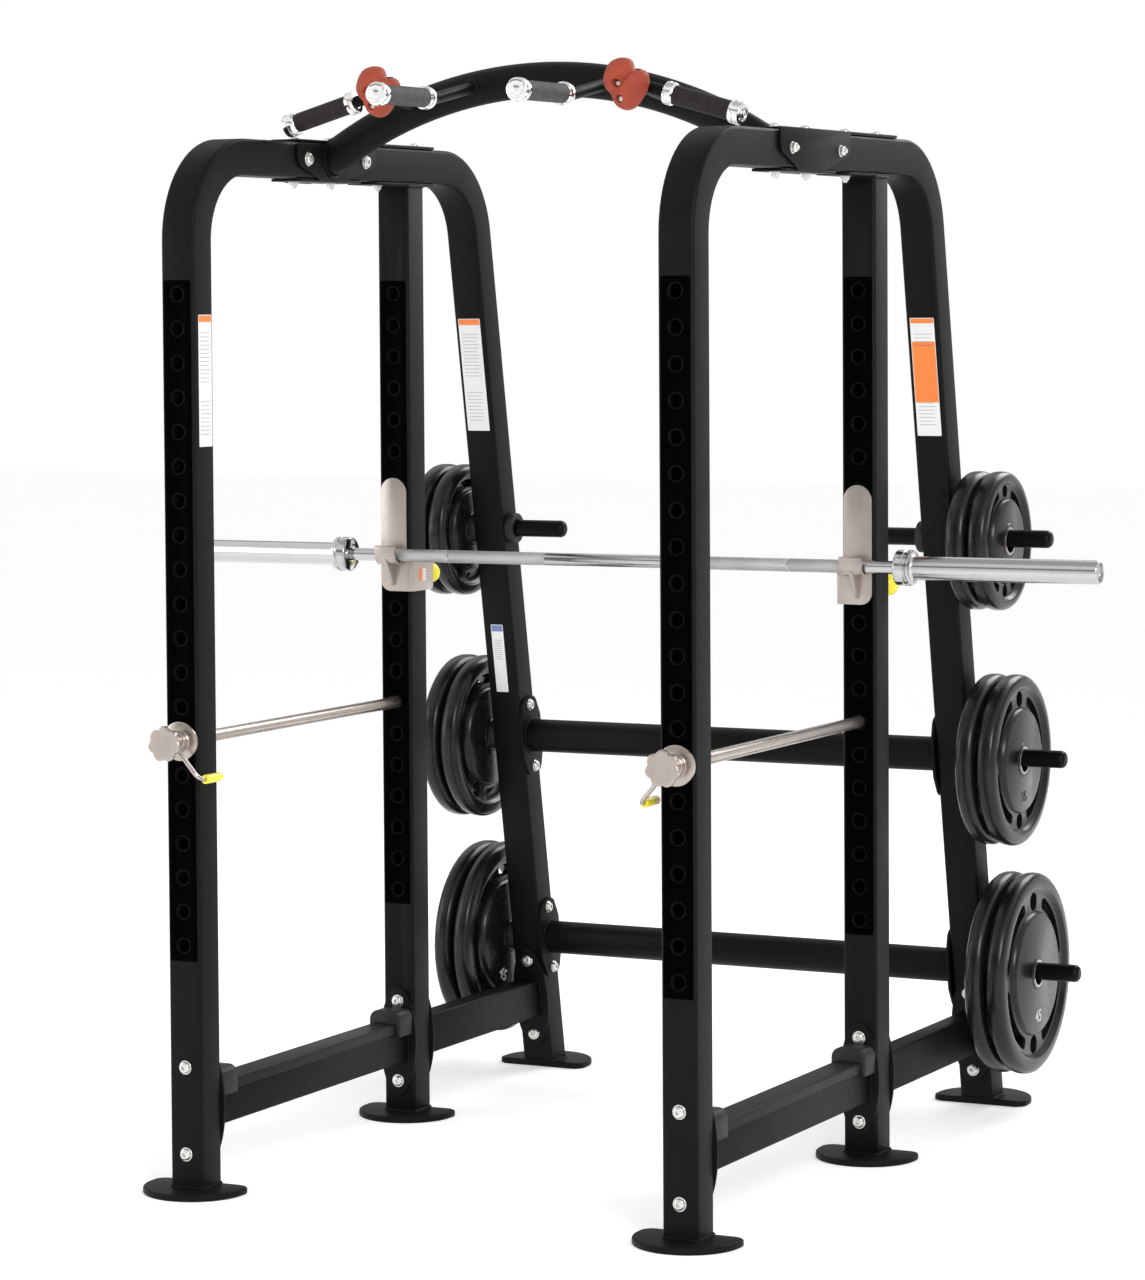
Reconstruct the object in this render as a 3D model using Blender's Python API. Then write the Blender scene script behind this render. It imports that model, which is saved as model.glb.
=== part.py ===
"""Power rack with a resting barbell, safety rods, a pull-up arch and six loaded storage pegs.

The frame stands on the floor at Z = 0 and faces -Y. X = 0 is its plane of symmetry, and the origin is
under the middle of its outer box. Heights and depths are metres. A depth is measured back from the
front faces of the front uprights.
"""

import math

import bmesh
import bpy
from mathutils import Matrix, Vector

SIDES = {"left": -1, "right": 1}
GAP = 0.0003

# Frame tubes
TUBE = 0.0762
WALL = 0.003
TUBE_CORNER = 0.007
HALF_WIDTH = 0.5575
MID_DEPTH = 0.8965
TOP = 2.160
BEND_RADIUS = 0.175
BEND_STEPS = 6
LEG_SLOPE = 0.181
LEG_DEPTH = 1.347
LEG_HEIGHT = 1.475

# Feet
FOOT_HALF = 0.112
FOOT_REACH = 0.109
FOOT_HEEL = 0.036
FOOT_CORNER = 0.024
FOOT_THICKNESS = 0.014
FOOT_WELD = 0.004

# Hole pattern of the uprights
HOLE_COUNT = 20
HOLE_PITCH = 0.06985
HOLE_TOP = 1.840
HOLE_RADIUS = 0.01535
HOLE_SIDES = 6
STRIP_WIDTH = 0.063
STRIP_THICKNESS = 0.002
STRIP_BOTTOM = 0.481
STRIP_TOP = 1.868
STRIP_HOLE_RADIUS = 0.018

# Base beams and their pads
BEAM_WIDTH = 0.0508
BEAM_BOTTOM = 0.128
BEAM_TOP = 0.216
FLANGE = 0.006
BEAM_FLANGE_BOTTOM = 0.050
BEAM_FLANGE_TOP = 0.295
PAD_THICKNESS = 0.005
PAD_SIDE = 0.018
PAD_CAP_LENGTH = 0.060
PAD_CAP_WIDTH = 0.078
PAD_CAP_RISE = 0.033
PAD_CAP_DROP = 0.024

# Pegs, crossmembers and plates
PEG_HEIGHTS = {"top": 1.296, "middle": 0.805, "bottom": 0.317}
PEG_RADIUS = 0.0195
PEG_END = 0.811
INNER_PEG_END = 0.377
BUMPER_RADIUS = 0.035
BUMPER_THICKNESS = 0.018
CROSS_RADIUS = 0.0381
CROSS_FLANGE_WIDTH = 0.100
CROSS_FLANGE_LENGTH = 0.185
PLATE_RADII = {"top": 0.1525, "middle": 0.190, "bottom": 0.225}
PLATE_THICKNESS = 0.050
PLATE_BORE = 0.0255
PLATE_SIDES = 16

# Pull-up arch, its grips and holds
ARCH_RADIUS = 0.0365
ARCH_WALL = 0.0035
ARCH_APEX = 2.2815
ARCH_SPRING = 2.1235
ARCH_DEPTH = 0.560
ARCH_STEPS = 10
ARCH_FLANGE_HALF = 0.150
BAR_RADIUS = 0.0125
GRIP_RADIUS = 0.020
GRIP_CAP_RADIUS = 0.024
NEUTRAL_X = 0.1585
NEUTRAL_FRONT = 0.122
NEUTRAL_BACK = 0.333
NEUTRAL_HEIGHT = 2.238
WIDE_DEPTH = 0.389
WIDE_INNER = (0.356, 2.238)
WIDE_OUTER = (0.519, 2.1915)
HOLD_X = 0.285
HOLD_HEIGHT = 2.254
HOLD_WIDTH = 0.104
HOLD_TALL = 0.106
HOLD_DEEP = 0.048

# Clamps over the top tubes
CLAMP_THICKNESS = 0.006
CLAMP_FRONT = 0.432
CLAMP_CHEEK_FRONT = 0.400
CLAMP_BACK = 0.720
CLAMP_STRAP_BACK = 1.030
MID_FLANGE_FRONT = 0.755

# Barbell
BAR_HEIGHT = 1.261
SHAFT_RADIUS = 0.014
SHAFT_HALF = 0.6555
SLEEVE_END = 1.100
SLEEVE_RADIUS = 0.025
COLLAR_RADIUS = 0.038
COLLAR_LENGTH = 0.035

# Bar hooks and their pull pins
HOOK_PLATE = 0.005
HOOK_WIDTH = 0.063
HOOK_BOTTOM = 1.180
HOOK_TOP = 1.4315
HOOK_SIDE_TOP = 1.262
HOOK_SIDE_X = 0.5101
HOOK_BACK = 0.985
HOOK_TAB = 0.006
CUP_WIDTH = 0.050
CUP_DEPTH = 0.036
CUP_LIP_TOP = 1.280
PIN_HOLE = 9
PIN_RADIUS = 0.011
PIN_FRONT = 0.9627
PIN_BACK = 1.034
PIN_BARREL = 0.016
PIN_BARREL_BACK = 1.022
KNOB_RADIUS = 0.0235
KNOB_DEPTH = 1.056

# Safety rods and their levers
ROD_HOLE = 13
ROD_RADIUS = 0.0127
ROD_BACK = 0.945
STAR_FRONT = 0.072
STAR_THICKNESS = 0.010
STAR_RADIUS = 0.0345
STAR_LOBE = 0.0025
STAR_LOBES = 7
ROD_DISC_RADIUS = 0.040
ROD_DISC_THICKNESS = 0.008
ROD_BOSS_RADIUS = 0.022
LEVER_SEAT = (0.0445, 0.0285)
LEVER_ANGLE = math.radians(49)
LEVER_REACH = 0.098
LEVER_RADIUS = 0.0045
LEVER_BACK = 0.042
LEVER_GRIP_RADIUS = 0.0095
LEVER_GRIP_FRONT = -0.016

LEG_ANGLE = math.atan(LEG_SLOPE)


def leg_depth(height):
    """Depth of a rear leg's centre line at a height."""
    return LEG_DEPTH + LEG_SLOPE * (LEG_HEIGHT - height)


def leg_front(height):
    """Depth of a rear leg's front face at a height."""
    return leg_depth(height) - TUBE / 2 / math.cos(LEG_ANGLE)


# The front faces' place, with the outer box centred on Y = 0.
FRONT = (STAR_FRONT - leg_depth(PEG_HEIGHTS["bottom"]) - PLATE_RADII["bottom"]) / 2


def at(x, depth, height):
    return Vector((x, FRONT + depth, height))


def material(name, colour, roughness, metallic=0.0):
    made = bpy.data.materials.new(name)
    made.use_nodes = True
    shader = made.node_tree.nodes["Principled BSDF"]
    shader.inputs["Base Color"].default_value = (*colour, 1.0)
    shader.inputs["Roughness"].default_value = roughness
    shader.inputs["Metallic"].default_value = metallic
    return made


def add(name, shape, finish, origin=(0.0, 0.0, 0.0)):
    """Puts a bmesh in the scene as an object whose origin is at the given point."""
    bmesh.ops.remove_doubles(shape, verts=shape.verts, dist=1e-6)
    bmesh.ops.recalc_face_normals(shape, faces=shape.faces)
    bmesh.ops.translate(shape, verts=shape.verts, vec=-Vector(origin))
    mesh = bpy.data.meshes.new(name)
    shape.to_mesh(mesh)
    shape.free()
    mesh.shade_smooth()
    mesh.set_sharp_from_angle(angle=math.radians(35))
    placed = bpy.data.objects.new(name, mesh)
    placed.location = origin
    if finish:
        mesh.materials.append(finish)
    bpy.context.scene.collection.objects.link(placed)
    return placed


def helper(name, shape):
    """Adds a shape that only takes part in Booleans."""
    placed = add(name, shape, None)
    placed.hide_render = True
    placed.display_type = "WIRE"
    return placed


def combine(target, operation, others):
    for other in others:
        modifier = target.modifiers.new(other.name, "BOOLEAN")
        modifier.operation = operation
        modifier.object = other


def loft(rings, loop=False, shape=None):
    """Joins rings of points. A loop joins the last ring to the first; otherwise both ends are capped."""
    shape = shape or bmesh.new()
    verts = [[shape.verts.new(point) for point in ring] for ring in rings]
    pairs = list(zip(verts, verts[1:]))
    if loop:
        pairs.append((verts[-1], verts[0]))
    else:
        shape.faces.new(verts[0])
        shape.faces.new(verts[-1])
    for near, far in pairs:
        for i in range(len(near)):
            j = (i + 1) % len(near)
            shape.faces.new((near[i], near[j], far[j], far[i]))
    return shape


def circle(centre, radius, along, sides, turn=0.0):
    """A regular polygon's points around a line along X or Y."""
    points = []
    for i in range(sides):
        angle = math.tau * i / sides + turn
        a, b = radius * math.cos(angle), radius * math.sin(angle)
        points.append(centre + (Vector((0, a, b)) if along == "X" else Vector((a, 0, b))))
    return points


def turned(centre, along, profile, sides, loop=False, turn=0.0):
    """A round shape about a line along X or Y, from (position, radius) pairs."""
    step = Vector((1, 0, 0)) if along == "X" else Vector((0, 1, 0))
    return loft([circle(centre + step * p, r, along, sides, turn) for p, r in profile], loop)


def box(low, high, shape=None):
    rings = []
    for z in (low[2], high[2]):
        corners = [(low[0], low[1]), (high[0], low[1]), (high[0], high[1]), (low[0], high[1])]
        rings.append([Vector((x, y, z)) for x, y in corners])
    return loft(rings, shape=shape)


def side_box(side, near, far, depths, heights):
    """A box between two distances from the plane of symmetry, on one side of the rack."""
    xs = sorted((side * near, side * far))
    low = at(xs[0], depths[0], heights[0])
    high = at(xs[1], depths[1], heights[1])
    return box(low, high)


def square(half, corner):
    """A square with cut corners, as (across, through) pairs."""
    flat = half - corner
    return [
        (flat, -half), (half, -flat), (half, flat), (flat, half),
        (-flat, half), (-half, flat), (-half, -flat), (-flat, -half),
    ]


def sweep(stations, outer, inner):
    """A hollow tube. A station is a point with the two directions that its section lies in."""
    rings = []
    for outline, places in ((outer, stations), (inner, stations[::-1])):
        for centre, across, through in places:
            rings.append([centre + across * a + through * b for a, b in outline])
    return loft(rings, loop=True)


def rod(points, radius, sides=8):
    """A bent bar through the given points, mitred at each."""
    rings = []
    for i, point in enumerate(points):
        before = (point - points[i - 1]).normalized() if i else (points[1] - point).normalized()
        last = i == len(points) - 1
        after = before if last else (points[i + 1] - point).normalized()
        heading = (before + after).normalized()
        side = Vector((0, 0, 1)).cross(heading)
        side = side.normalized() if side.length > 0.1 else Vector((1, 0, 0))
        up = heading.cross(side).normalized()
        stretch = 1.0 / max(0.5, heading.dot(before))
        turn = before - after
        ring = []
        for k in range(sides):
            angle = math.tau * (k + 0.5) / sides
            offset = side * math.cos(angle) + up * math.sin(angle)
            if turn.length > 1e-6:
                bend = turn.normalized()
                offset += bend * offset.dot(bend) * (stretch - 1.0)
            ring.append(point + offset * radius)
        rings.append(ring)
    return loft(rings)


def hole_height(index):
    return HOLE_TOP - HOLE_PITCH * index


def hole_cutters(name, x, front, back, radius, sides):
    """The column of holes, as prisms that run through a tube or a strip."""
    shape = bmesh.new()
    for k in range(HOLE_COUNT):
        ends = [at(x, front, hole_height(k)), at(x, back, hole_height(k))]
        loft([circle(end, radius, "Y", sides, math.pi / sides) for end in ends], shape=shape)
    return helper(name, shape)


def foot(name, x, depth, way):
    """Foot plate: a half oval that reaches out on one side of its tube, with a straight heel."""
    corner = FOOT_CORNER * 0.3
    outline = [(FOOT_HALF - FOOT_CORNER, -FOOT_HEEL), (FOOT_HALF - corner, corner - FOOT_HEEL)]
    for i in range(11):
        angle = math.pi * i / 10
        outline.append((FOOT_HALF * math.cos(angle), FOOT_REACH * math.sin(angle)))
    outline += [(-across, along) for across, along in outline[1::-1]]
    rings = []
    for z in (0.0, FOOT_THICKNESS):
        rings.append([at(x + across, depth + way * along, z) for across, along in outline])
    return helper(name, loft(rings))


def side_frame(name, side, finish):
    """One bent tube: front upright, top rail and leaning rear leg, with its two foot plates."""
    across = Vector((1, 0, 0))
    x = side * HALF_WIDTH
    rail = TOP - TUBE / 2
    low = FOOT_THICKNESS - FOOT_WELD
    stations = [(at(x, TUBE / 2, low), across, Vector((0, 1, 0)))]
    for i in range(BEND_STEPS + 1):
        angle = math.pi / 2 * i / BEND_STEPS
        inward = Vector((0, math.cos(angle), -math.sin(angle)))
        centre = at(x, TUBE / 2 + BEND_RADIUS, rail - BEND_RADIUS) - inward * BEND_RADIUS
        stations.append((centre, across, inward))
    turn = math.pi / 2 - LEG_ANGLE
    start = leg_depth(rail) - BEND_RADIUS * math.tan(turn / 2)
    for i in range(BEND_STEPS + 1):
        angle = turn * i / BEND_STEPS
        inward = Vector((0, -math.sin(angle), -math.cos(angle)))
        centre = at(x, start, rail - BEND_RADIUS) - inward * BEND_RADIUS
        stations.append((centre, across, inward))
    level = Vector((0, -1 / math.cos(LEG_ANGLE), 0))
    stations.append((at(x, leg_depth(low), low), across, level))
    outer = square(TUBE / 2, TUBE_CORNER)
    inner = square(TUBE / 2 - WALL, TUBE_CORNER - WALL)
    frame = add(name, sweep(stations, outer, inner), finish)
    feet = [foot(name + "_foot_front", x, TUBE / 2, -1), foot(name + "_foot_rear", x, leg_depth(0.0), 1)]
    combine(frame, "UNION", feet)
    holes = hole_cutters(name + "_holes", x, -0.01, TUBE + 0.01, HOLE_RADIUS, HOLE_SIDES)
    combine(frame, "DIFFERENCE", [holes])


def mid_upright(name, side, finish):
    """Straight upright with a foot plate below and a bolting flange under the top rail."""
    x = side * HALF_WIDTH
    middle = MID_DEPTH + TUBE / 2
    low, high = FOOT_THICKNESS - FOOT_WELD, TOP - TUBE - GAP
    outer = square(TUBE / 2, TUBE_CORNER)
    inner = square(TUBE / 2 - WALL, TUBE_CORNER - WALL)
    rings = []
    for outline, height in ((inner, high - FLANGE), (inner, low), (outer, low), (outer, high)):
        rings.append([at(x + a, middle + b, height) for a, b in outline])
    upright = add(name, loft(rings), finish)
    half = TUBE / 2 - 0.001
    flange = side_box(
        side, HALF_WIDTH - half, HALF_WIDTH + half,
        (MID_FLANGE_FRONT, CLAMP_STRAP_BACK), (high - FLANGE, high),
    )
    combine(upright, "UNION", [helper(name + "_flange", flange), foot(name + "_foot", x, middle, -1)])
    span = (MID_DEPTH - 0.01, MID_DEPTH + TUBE + 0.01)
    combine(upright, "DIFFERENCE", [hole_cutters(name + "_holes", x, *span, HOLE_RADIUS, HOLE_SIDES)])


def wear_strip(name, side, depth, finish):
    half = STRIP_WIDTH / 2
    back = depth - GAP
    shape = side_box(
        side, HALF_WIDTH - half, HALF_WIDTH + half,
        (back - STRIP_THICKNESS, back), (STRIP_BOTTOM, STRIP_TOP),
    )
    strip = add(name, shape, finish)
    x = side * HALF_WIDTH
    cutters = hole_cutters(name + "_holes", x, depth - 0.01, depth + 0.01, STRIP_HOLE_RADIUS, HOLE_SIDES)
    combine(strip, "DIFFERENCE", [cutters])


def base_beam(name, side, front, back, finish):
    """Box tube between two uprights. Front and back are functions of height, so an end can lean."""

    def ring(half, low, high, face, inset):
        corners = [(-half, low), (half, low), (half, high), (-half, high)]
        return [at(side * HALF_WIDTH + a, face(z) + inset, z) for a, z in corners]

    plate = (TUBE / 2, BEAM_FLANGE_BOTTOM, BEAM_FLANGE_TOP)
    tube = (BEAM_WIDTH / 2, BEAM_BOTTOM, BEAM_TOP)
    bore = (BEAM_WIDTH / 2 - WALL, BEAM_BOTTOM + WALL, BEAM_TOP - WALL)
    rings = [
        ring(*plate, front, GAP), ring(*plate, front, FLANGE), ring(*tube, front, FLANGE),
        ring(*tube, back, -FLANGE), ring(*plate, back, -FLANGE), ring(*plate, back, -GAP * 1.1),
        ring(*bore, back, -GAP * 1.1), ring(*bore, front, GAP),
    ]
    add(name, loft(rings, loop=True), finish)


def beam_pad(name, side, finish):
    """Rubber cover over a front beam, with a raised block at each end."""
    inner = BEAM_WIDTH / 2 + GAP
    seat = BEAM_TOP + GAP
    body = (BEAM_WIDTH / 2 + PAD_THICKNESS, seat + PAD_THICKNESS, BEAM_TOP - PAD_SIDE, 0.004)
    cap = (PAD_CAP_WIDTH / 2, seat + PAD_CAP_RISE, BEAM_TOP - PAD_CAP_DROP, 0.018)
    front = TUBE + FLANGE + GAP
    back = MID_DEPTH - FLANGE - GAP
    stations = [
        (front, cap), (front + PAD_CAP_LENGTH, cap),
        (front + PAD_CAP_LENGTH, body), (back - PAD_CAP_LENGTH, body),
        (back - PAD_CAP_LENGTH, cap), (back, cap),
    ]
    rings = []
    for depth, (half, high, low, corner) in stations:
        outline = [
            (-half, low), (-half, high - corner), (-half + corner, high), (half - corner, high),
            (half, high - corner), (half, low), (inner, low), (inner, seat), (-inner, seat), (-inner, low),
        ]
        rings.append([at(side * HALF_WIDTH + a, depth, z) for a, z in outline])
    add(name, loft(rings), finish)


def crossmember(name, height, finish):
    """Round tube between the rear legs, with an oval flange on each end, in line with the legs."""
    sides = 16
    lean = Matrix.Rotation(LEG_ANGLE, 3, "X")
    centre = at(0, leg_depth(height), height)
    reach = HALF_WIDTH - TUBE / 2 - GAP

    def ring(x, wide, tall):
        points = []
        for i in range(sides):
            angle = math.tau * i / sides
            points.append(centre + lean @ Vector((x, wide * math.cos(angle), tall * math.sin(angle))))
        return points

    oval = (CROSS_FLANGE_WIDTH / 2, CROSS_FLANGE_LENGTH / 2)
    tube = (CROSS_RADIUS, CROSS_RADIUS)
    bore = (CROSS_RADIUS - WALL, CROSS_RADIUS - WALL)
    rings = [
        ring(-reach, *oval), ring(-reach + FLANGE, *oval), ring(-reach + FLANGE, *tube),
        ring(reach - FLANGE, *tube), ring(reach - FLANGE, *oval), ring(reach, *oval),
        ring(reach, *bore), ring(-reach, *bore),
    ]
    add(name, loft(rings, loop=True), finish)


def arch_curve():
    """Radius of the arch's centre line and the angle that it turns through on each side."""
    half = HALF_WIDTH - TUBE / 2 - GAP
    sag = ARCH_APEX - ARCH_SPRING
    radius = (half * half + sag * sag) / (2 * sag)
    return radius, math.asin(half / radius)


def arch_height(x):
    radius, _ = arch_curve()
    return ARCH_APEX - radius + math.sqrt(radius * radius - x * x)


def pull_up_arch(finish):
    """Curved round tube with an end flange against each top rail, and the bars that carry the grips."""
    sides = 12
    radius, sweep_angle = arch_curve()
    reach = HALF_WIDTH - TUBE / 2 - GAP
    tops = []
    for i in range(ARCH_STEPS + 1):
        angle = sweep_angle * (2 * i / ARCH_STEPS - 1)
        inner_reach = reach - FLANGE
        x = max(-inner_reach, min(inner_reach, radius * math.sin(angle)))
        along = angle if abs(x) < inner_reach else 0.0
        tops.append((x, arch_height(x), along))

    def tube_ring(place, size):
        x, height, lean = place
        points = []
        for k in range(sides):
            turn = math.tau * (k + 0.5) / sides
            a, b = size * math.cos(turn), size * math.sin(turn)
            points.append(at(x + b * math.sin(lean), ARCH_DEPTH + a, height + b * math.cos(lean)))
        return points

    def flange_ring(x):
        points = []
        for k in range(sides):
            turn = math.tau * (k + 0.5) / sides
            a, b = ARCH_FLANGE_HALF * math.cos(turn), (TUBE / 2 + 0.004) * math.sin(turn)
            points.append(at(x, ARCH_DEPTH + a, TOP - TUBE / 2 + b))
        return points

    bore = [tube_ring(place, ARCH_RADIUS - ARCH_WALL) for place in tops]
    last_bore = [tube_ring((s * reach, tops[0][1], 0.0), ARCH_RADIUS - ARCH_WALL) for s in (1, -1)]
    rings = [flange_ring(-reach), flange_ring(-reach + FLANGE)]
    rings += [tube_ring(place, ARCH_RADIUS) for place in tops]
    rings += [flange_ring(reach - FLANGE), flange_ring(reach), last_bore[0]]
    rings += bore[::-1] + [last_bore[1]]
    arch = add("pull_up_arch", loft(rings, loop=True), finish)

    parts = []
    socket = ARCH_DEPTH - ARCH_RADIUS + ARCH_WALL + 0.0007
    for side_name, side in SIDES.items():
        x = side * NEUTRAL_X
        neutral = [
            at(x, NEUTRAL_FRONT, NEUTRAL_HEIGHT), at(x, NEUTRAL_BACK + 0.02, NEUTRAL_HEIGHT),
            at(x, socket, arch_height(NEUTRAL_X)),
        ]
        parts.append(helper("neutral_bar_" + side_name, rod(neutral, BAR_RADIUS)))
        slope = (WIDE_OUTER[1] - WIDE_INNER[1]) / (WIDE_OUTER[0] - WIDE_INNER[0])
        corner = 0.300
        corner_height = WIDE_INNER[1] + slope * (corner - WIDE_INNER[0])
        wide = [
            at(side * corner, socket, arch_height(corner)),
            at(side * corner, WIDE_DEPTH + 0.030, corner_height),
            at(side * (corner + 0.010), WIDE_DEPTH + 0.008, corner_height),
            at(side * (corner + 0.030), WIDE_DEPTH, corner_height + slope * 0.03),
            at(side * WIDE_OUTER[0], WIDE_DEPTH, WIDE_OUTER[1]),
        ]
        parts.append(helper("wide_bar_" + side_name, rod(wide, BAR_RADIUS)))
        plate = side_box(
            side, HOLD_X - 0.030, HOLD_X + 0.032,
            (WIDE_DEPTH - 0.019, WIDE_DEPTH + 0.010), (HOLD_HEIGHT - 0.04, HOLD_HEIGHT + 0.04),
        )
        parts.append(helper("hold_plate_" + side_name, plate))
    combine(arch, "UNION", parts)


def grip(name, start, end, finish):
    """Sleeve over a bar, thicker at its two end caps and closed at its far end."""
    run = (end - start).normalized()
    length = (end - start).length
    side = Vector((0, 0, 1)).cross(run).normalized()
    up = run.cross(side)
    cap = 0.022
    bore = BAR_RADIUS + 0.0006
    sides = 12

    def ring(along, radius):
        points = []
        for k in range(sides):
            angle = math.tau * k / sides
            points.append(start + run * along + (side * math.cos(angle) + up * math.sin(angle)) * radius)
        return points

    rings = [
        ring(length + 0.001, bore), ring(0, bore), ring(0, GRIP_CAP_RADIUS), ring(cap, GRIP_CAP_RADIUS),
        ring(cap, GRIP_RADIUS), ring(length - cap, GRIP_RADIUS), ring(length - cap, GRIP_CAP_RADIUS),
        ring(length + 0.006, GRIP_CAP_RADIUS),
    ]
    add(name, loft(rings), finish)


def climbing_hold(name, side, finish):
    """Rounded grip block with a tall lobe and a side lobe."""
    back = WIDE_DEPTH - 0.019 - GAP
    layers = [(0.0, 1.0), (0.5, 0.96), (0.85, 0.78), (1.0, 0.42)]
    rings = []
    for forward, size in layers:
        ring = []
        for k in range(14):
            angle = math.tau * k / 14
            reach = 1.0 - 0.12 * math.exp(-(((angle - 0.95) / 0.35) ** 2))
            x = size * reach * HOLD_WIDTH / 2 * math.cos(angle)
            z = size * reach * HOLD_TALL / 2 * math.sin(angle)
            ring.append(at(side * HOLD_X + x, back - HOLD_DEEP * forward, HOLD_HEIGHT + z))
        rings.append(ring)
    add(name, loft(rings), finish)


def arch_clamp(name, side, finish):
    """Strap over the top rail that folds down its outer face and back under it."""
    inner, outer = HALF_WIDTH - TUBE / 2 + 0.001, HALF_WIDTH + TUBE / 2 + GAP + CLAMP_THICKNESS
    over, under = TOP + GAP, TOP - TUBE - GAP
    face = HALF_WIDTH + TUBE / 2 + GAP
    strap = side_box(
        side, inner, outer - 0.001,
        (CLAMP_FRONT, CLAMP_STRAP_BACK), (over, over + CLAMP_THICKNESS),
    )
    cheek = side_box(
        side, face, outer, (CLAMP_CHEEK_FRONT, CLAMP_BACK),
        (under - CLAMP_THICKNESS + 0.001, over + CLAMP_THICKNESS - 0.001),
    )
    sole = side_box(
        side, inner, outer - 0.001,
        (CLAMP_FRONT, CLAMP_BACK - 0.02), (under - CLAMP_THICKNESS, under),
    )
    clamp = add(name, strap, finish)
    combine(clamp, "UNION", [helper(name + "_cheek", cheek), helper(name + "_sole", sole)])


def peg(name, side, height, inward, finish):
    """Storage bar with a round bumper against the leg."""
    start = TUBE / 2 + GAP
    length = (HALF_WIDTH - INNER_PEG_END) if inward else (PEG_END - HALF_WIDTH)
    way = -side if inward else side
    profile = [
        (way * start, BUMPER_RADIUS), (way * (start + BUMPER_THICKNESS), BUMPER_RADIUS),
        (way * (start + BUMPER_THICKNESS), PEG_RADIUS), (way * (length - 0.008), PEG_RADIUS),
        (way * length, PEG_RADIUS - 0.008),
    ]
    centre = at(side * HALF_WIDTH, leg_depth(height), height)
    add(name, turned(centre, "X", profile, 12), finish)


def plate(name, side, level, place, finish):
    """Weight plate with a thick rim, a recessed web and a hub. Place 0 is next to the leg."""
    radius = PLATE_RADII[level]
    half = PLATE_THICKNESS / 2
    start = HALF_WIDTH + TUBE / 2 + GAP + BUMPER_THICKNESS
    x = side * (start + (place + 0.5) * PLATE_THICKNESS + (place + 1) * GAP)
    height = PEG_HEIGHTS[level] - (PLATE_BORE - PEG_RADIUS) + GAP
    centre = at(x, leg_depth(PEG_HEIGHTS[level]), height)
    face = [
        (half, PLATE_BORE), (half, radius * 0.38), (half - 0.015, radius * 0.50),
        (half - 0.003, radius * 0.85), (half - 0.003, radius),
    ]
    profile = face + [(-p, r) for p, r in face[::-1]]
    add(name, turned(centre, "X", profile, PLATE_SIDES, loop=True), finish, origin=centre)


def barbell(steel):
    """Shaft resting against the two hooks, with a turning sleeve on each end."""
    depth = MID_DEPTH - STRIP_THICKNESS - HOOK_PLATE - 3 * GAP - SHAFT_RADIUS
    centre = at(0, depth, BAR_HEIGHT)
    spigot = SHAFT_RADIUS - 0.0015
    half_shaft = [(SHAFT_HALF, SHAFT_RADIUS), (SHAFT_HALF, spigot), (SLEEVE_END - 0.015, spigot)]
    profile = [(-p, r) for p, r in half_shaft[::-1]] + half_shaft
    add("barbell_shaft", turned(centre, "X", profile, 12), steel, origin=centre)
    for side_name, side in SIDES.items():
        start = SHAFT_HALF + GAP
        sleeve = [
            (SLEEVE_END - 0.012, spigot + 0.0007), (start, spigot + 0.0007), (start, COLLAR_RADIUS),
            (start + COLLAR_LENGTH, COLLAR_RADIUS), (start + COLLAR_LENGTH, SLEEVE_RADIUS),
            (SLEEVE_END, SLEEVE_RADIUS),
        ]
        profile = [(side * p, r) for p, r in sleeve]
        add("barbell_sleeve_" + side_name, turned(centre, "X", profile, 16), steel, origin=centre)
    return depth


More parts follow.
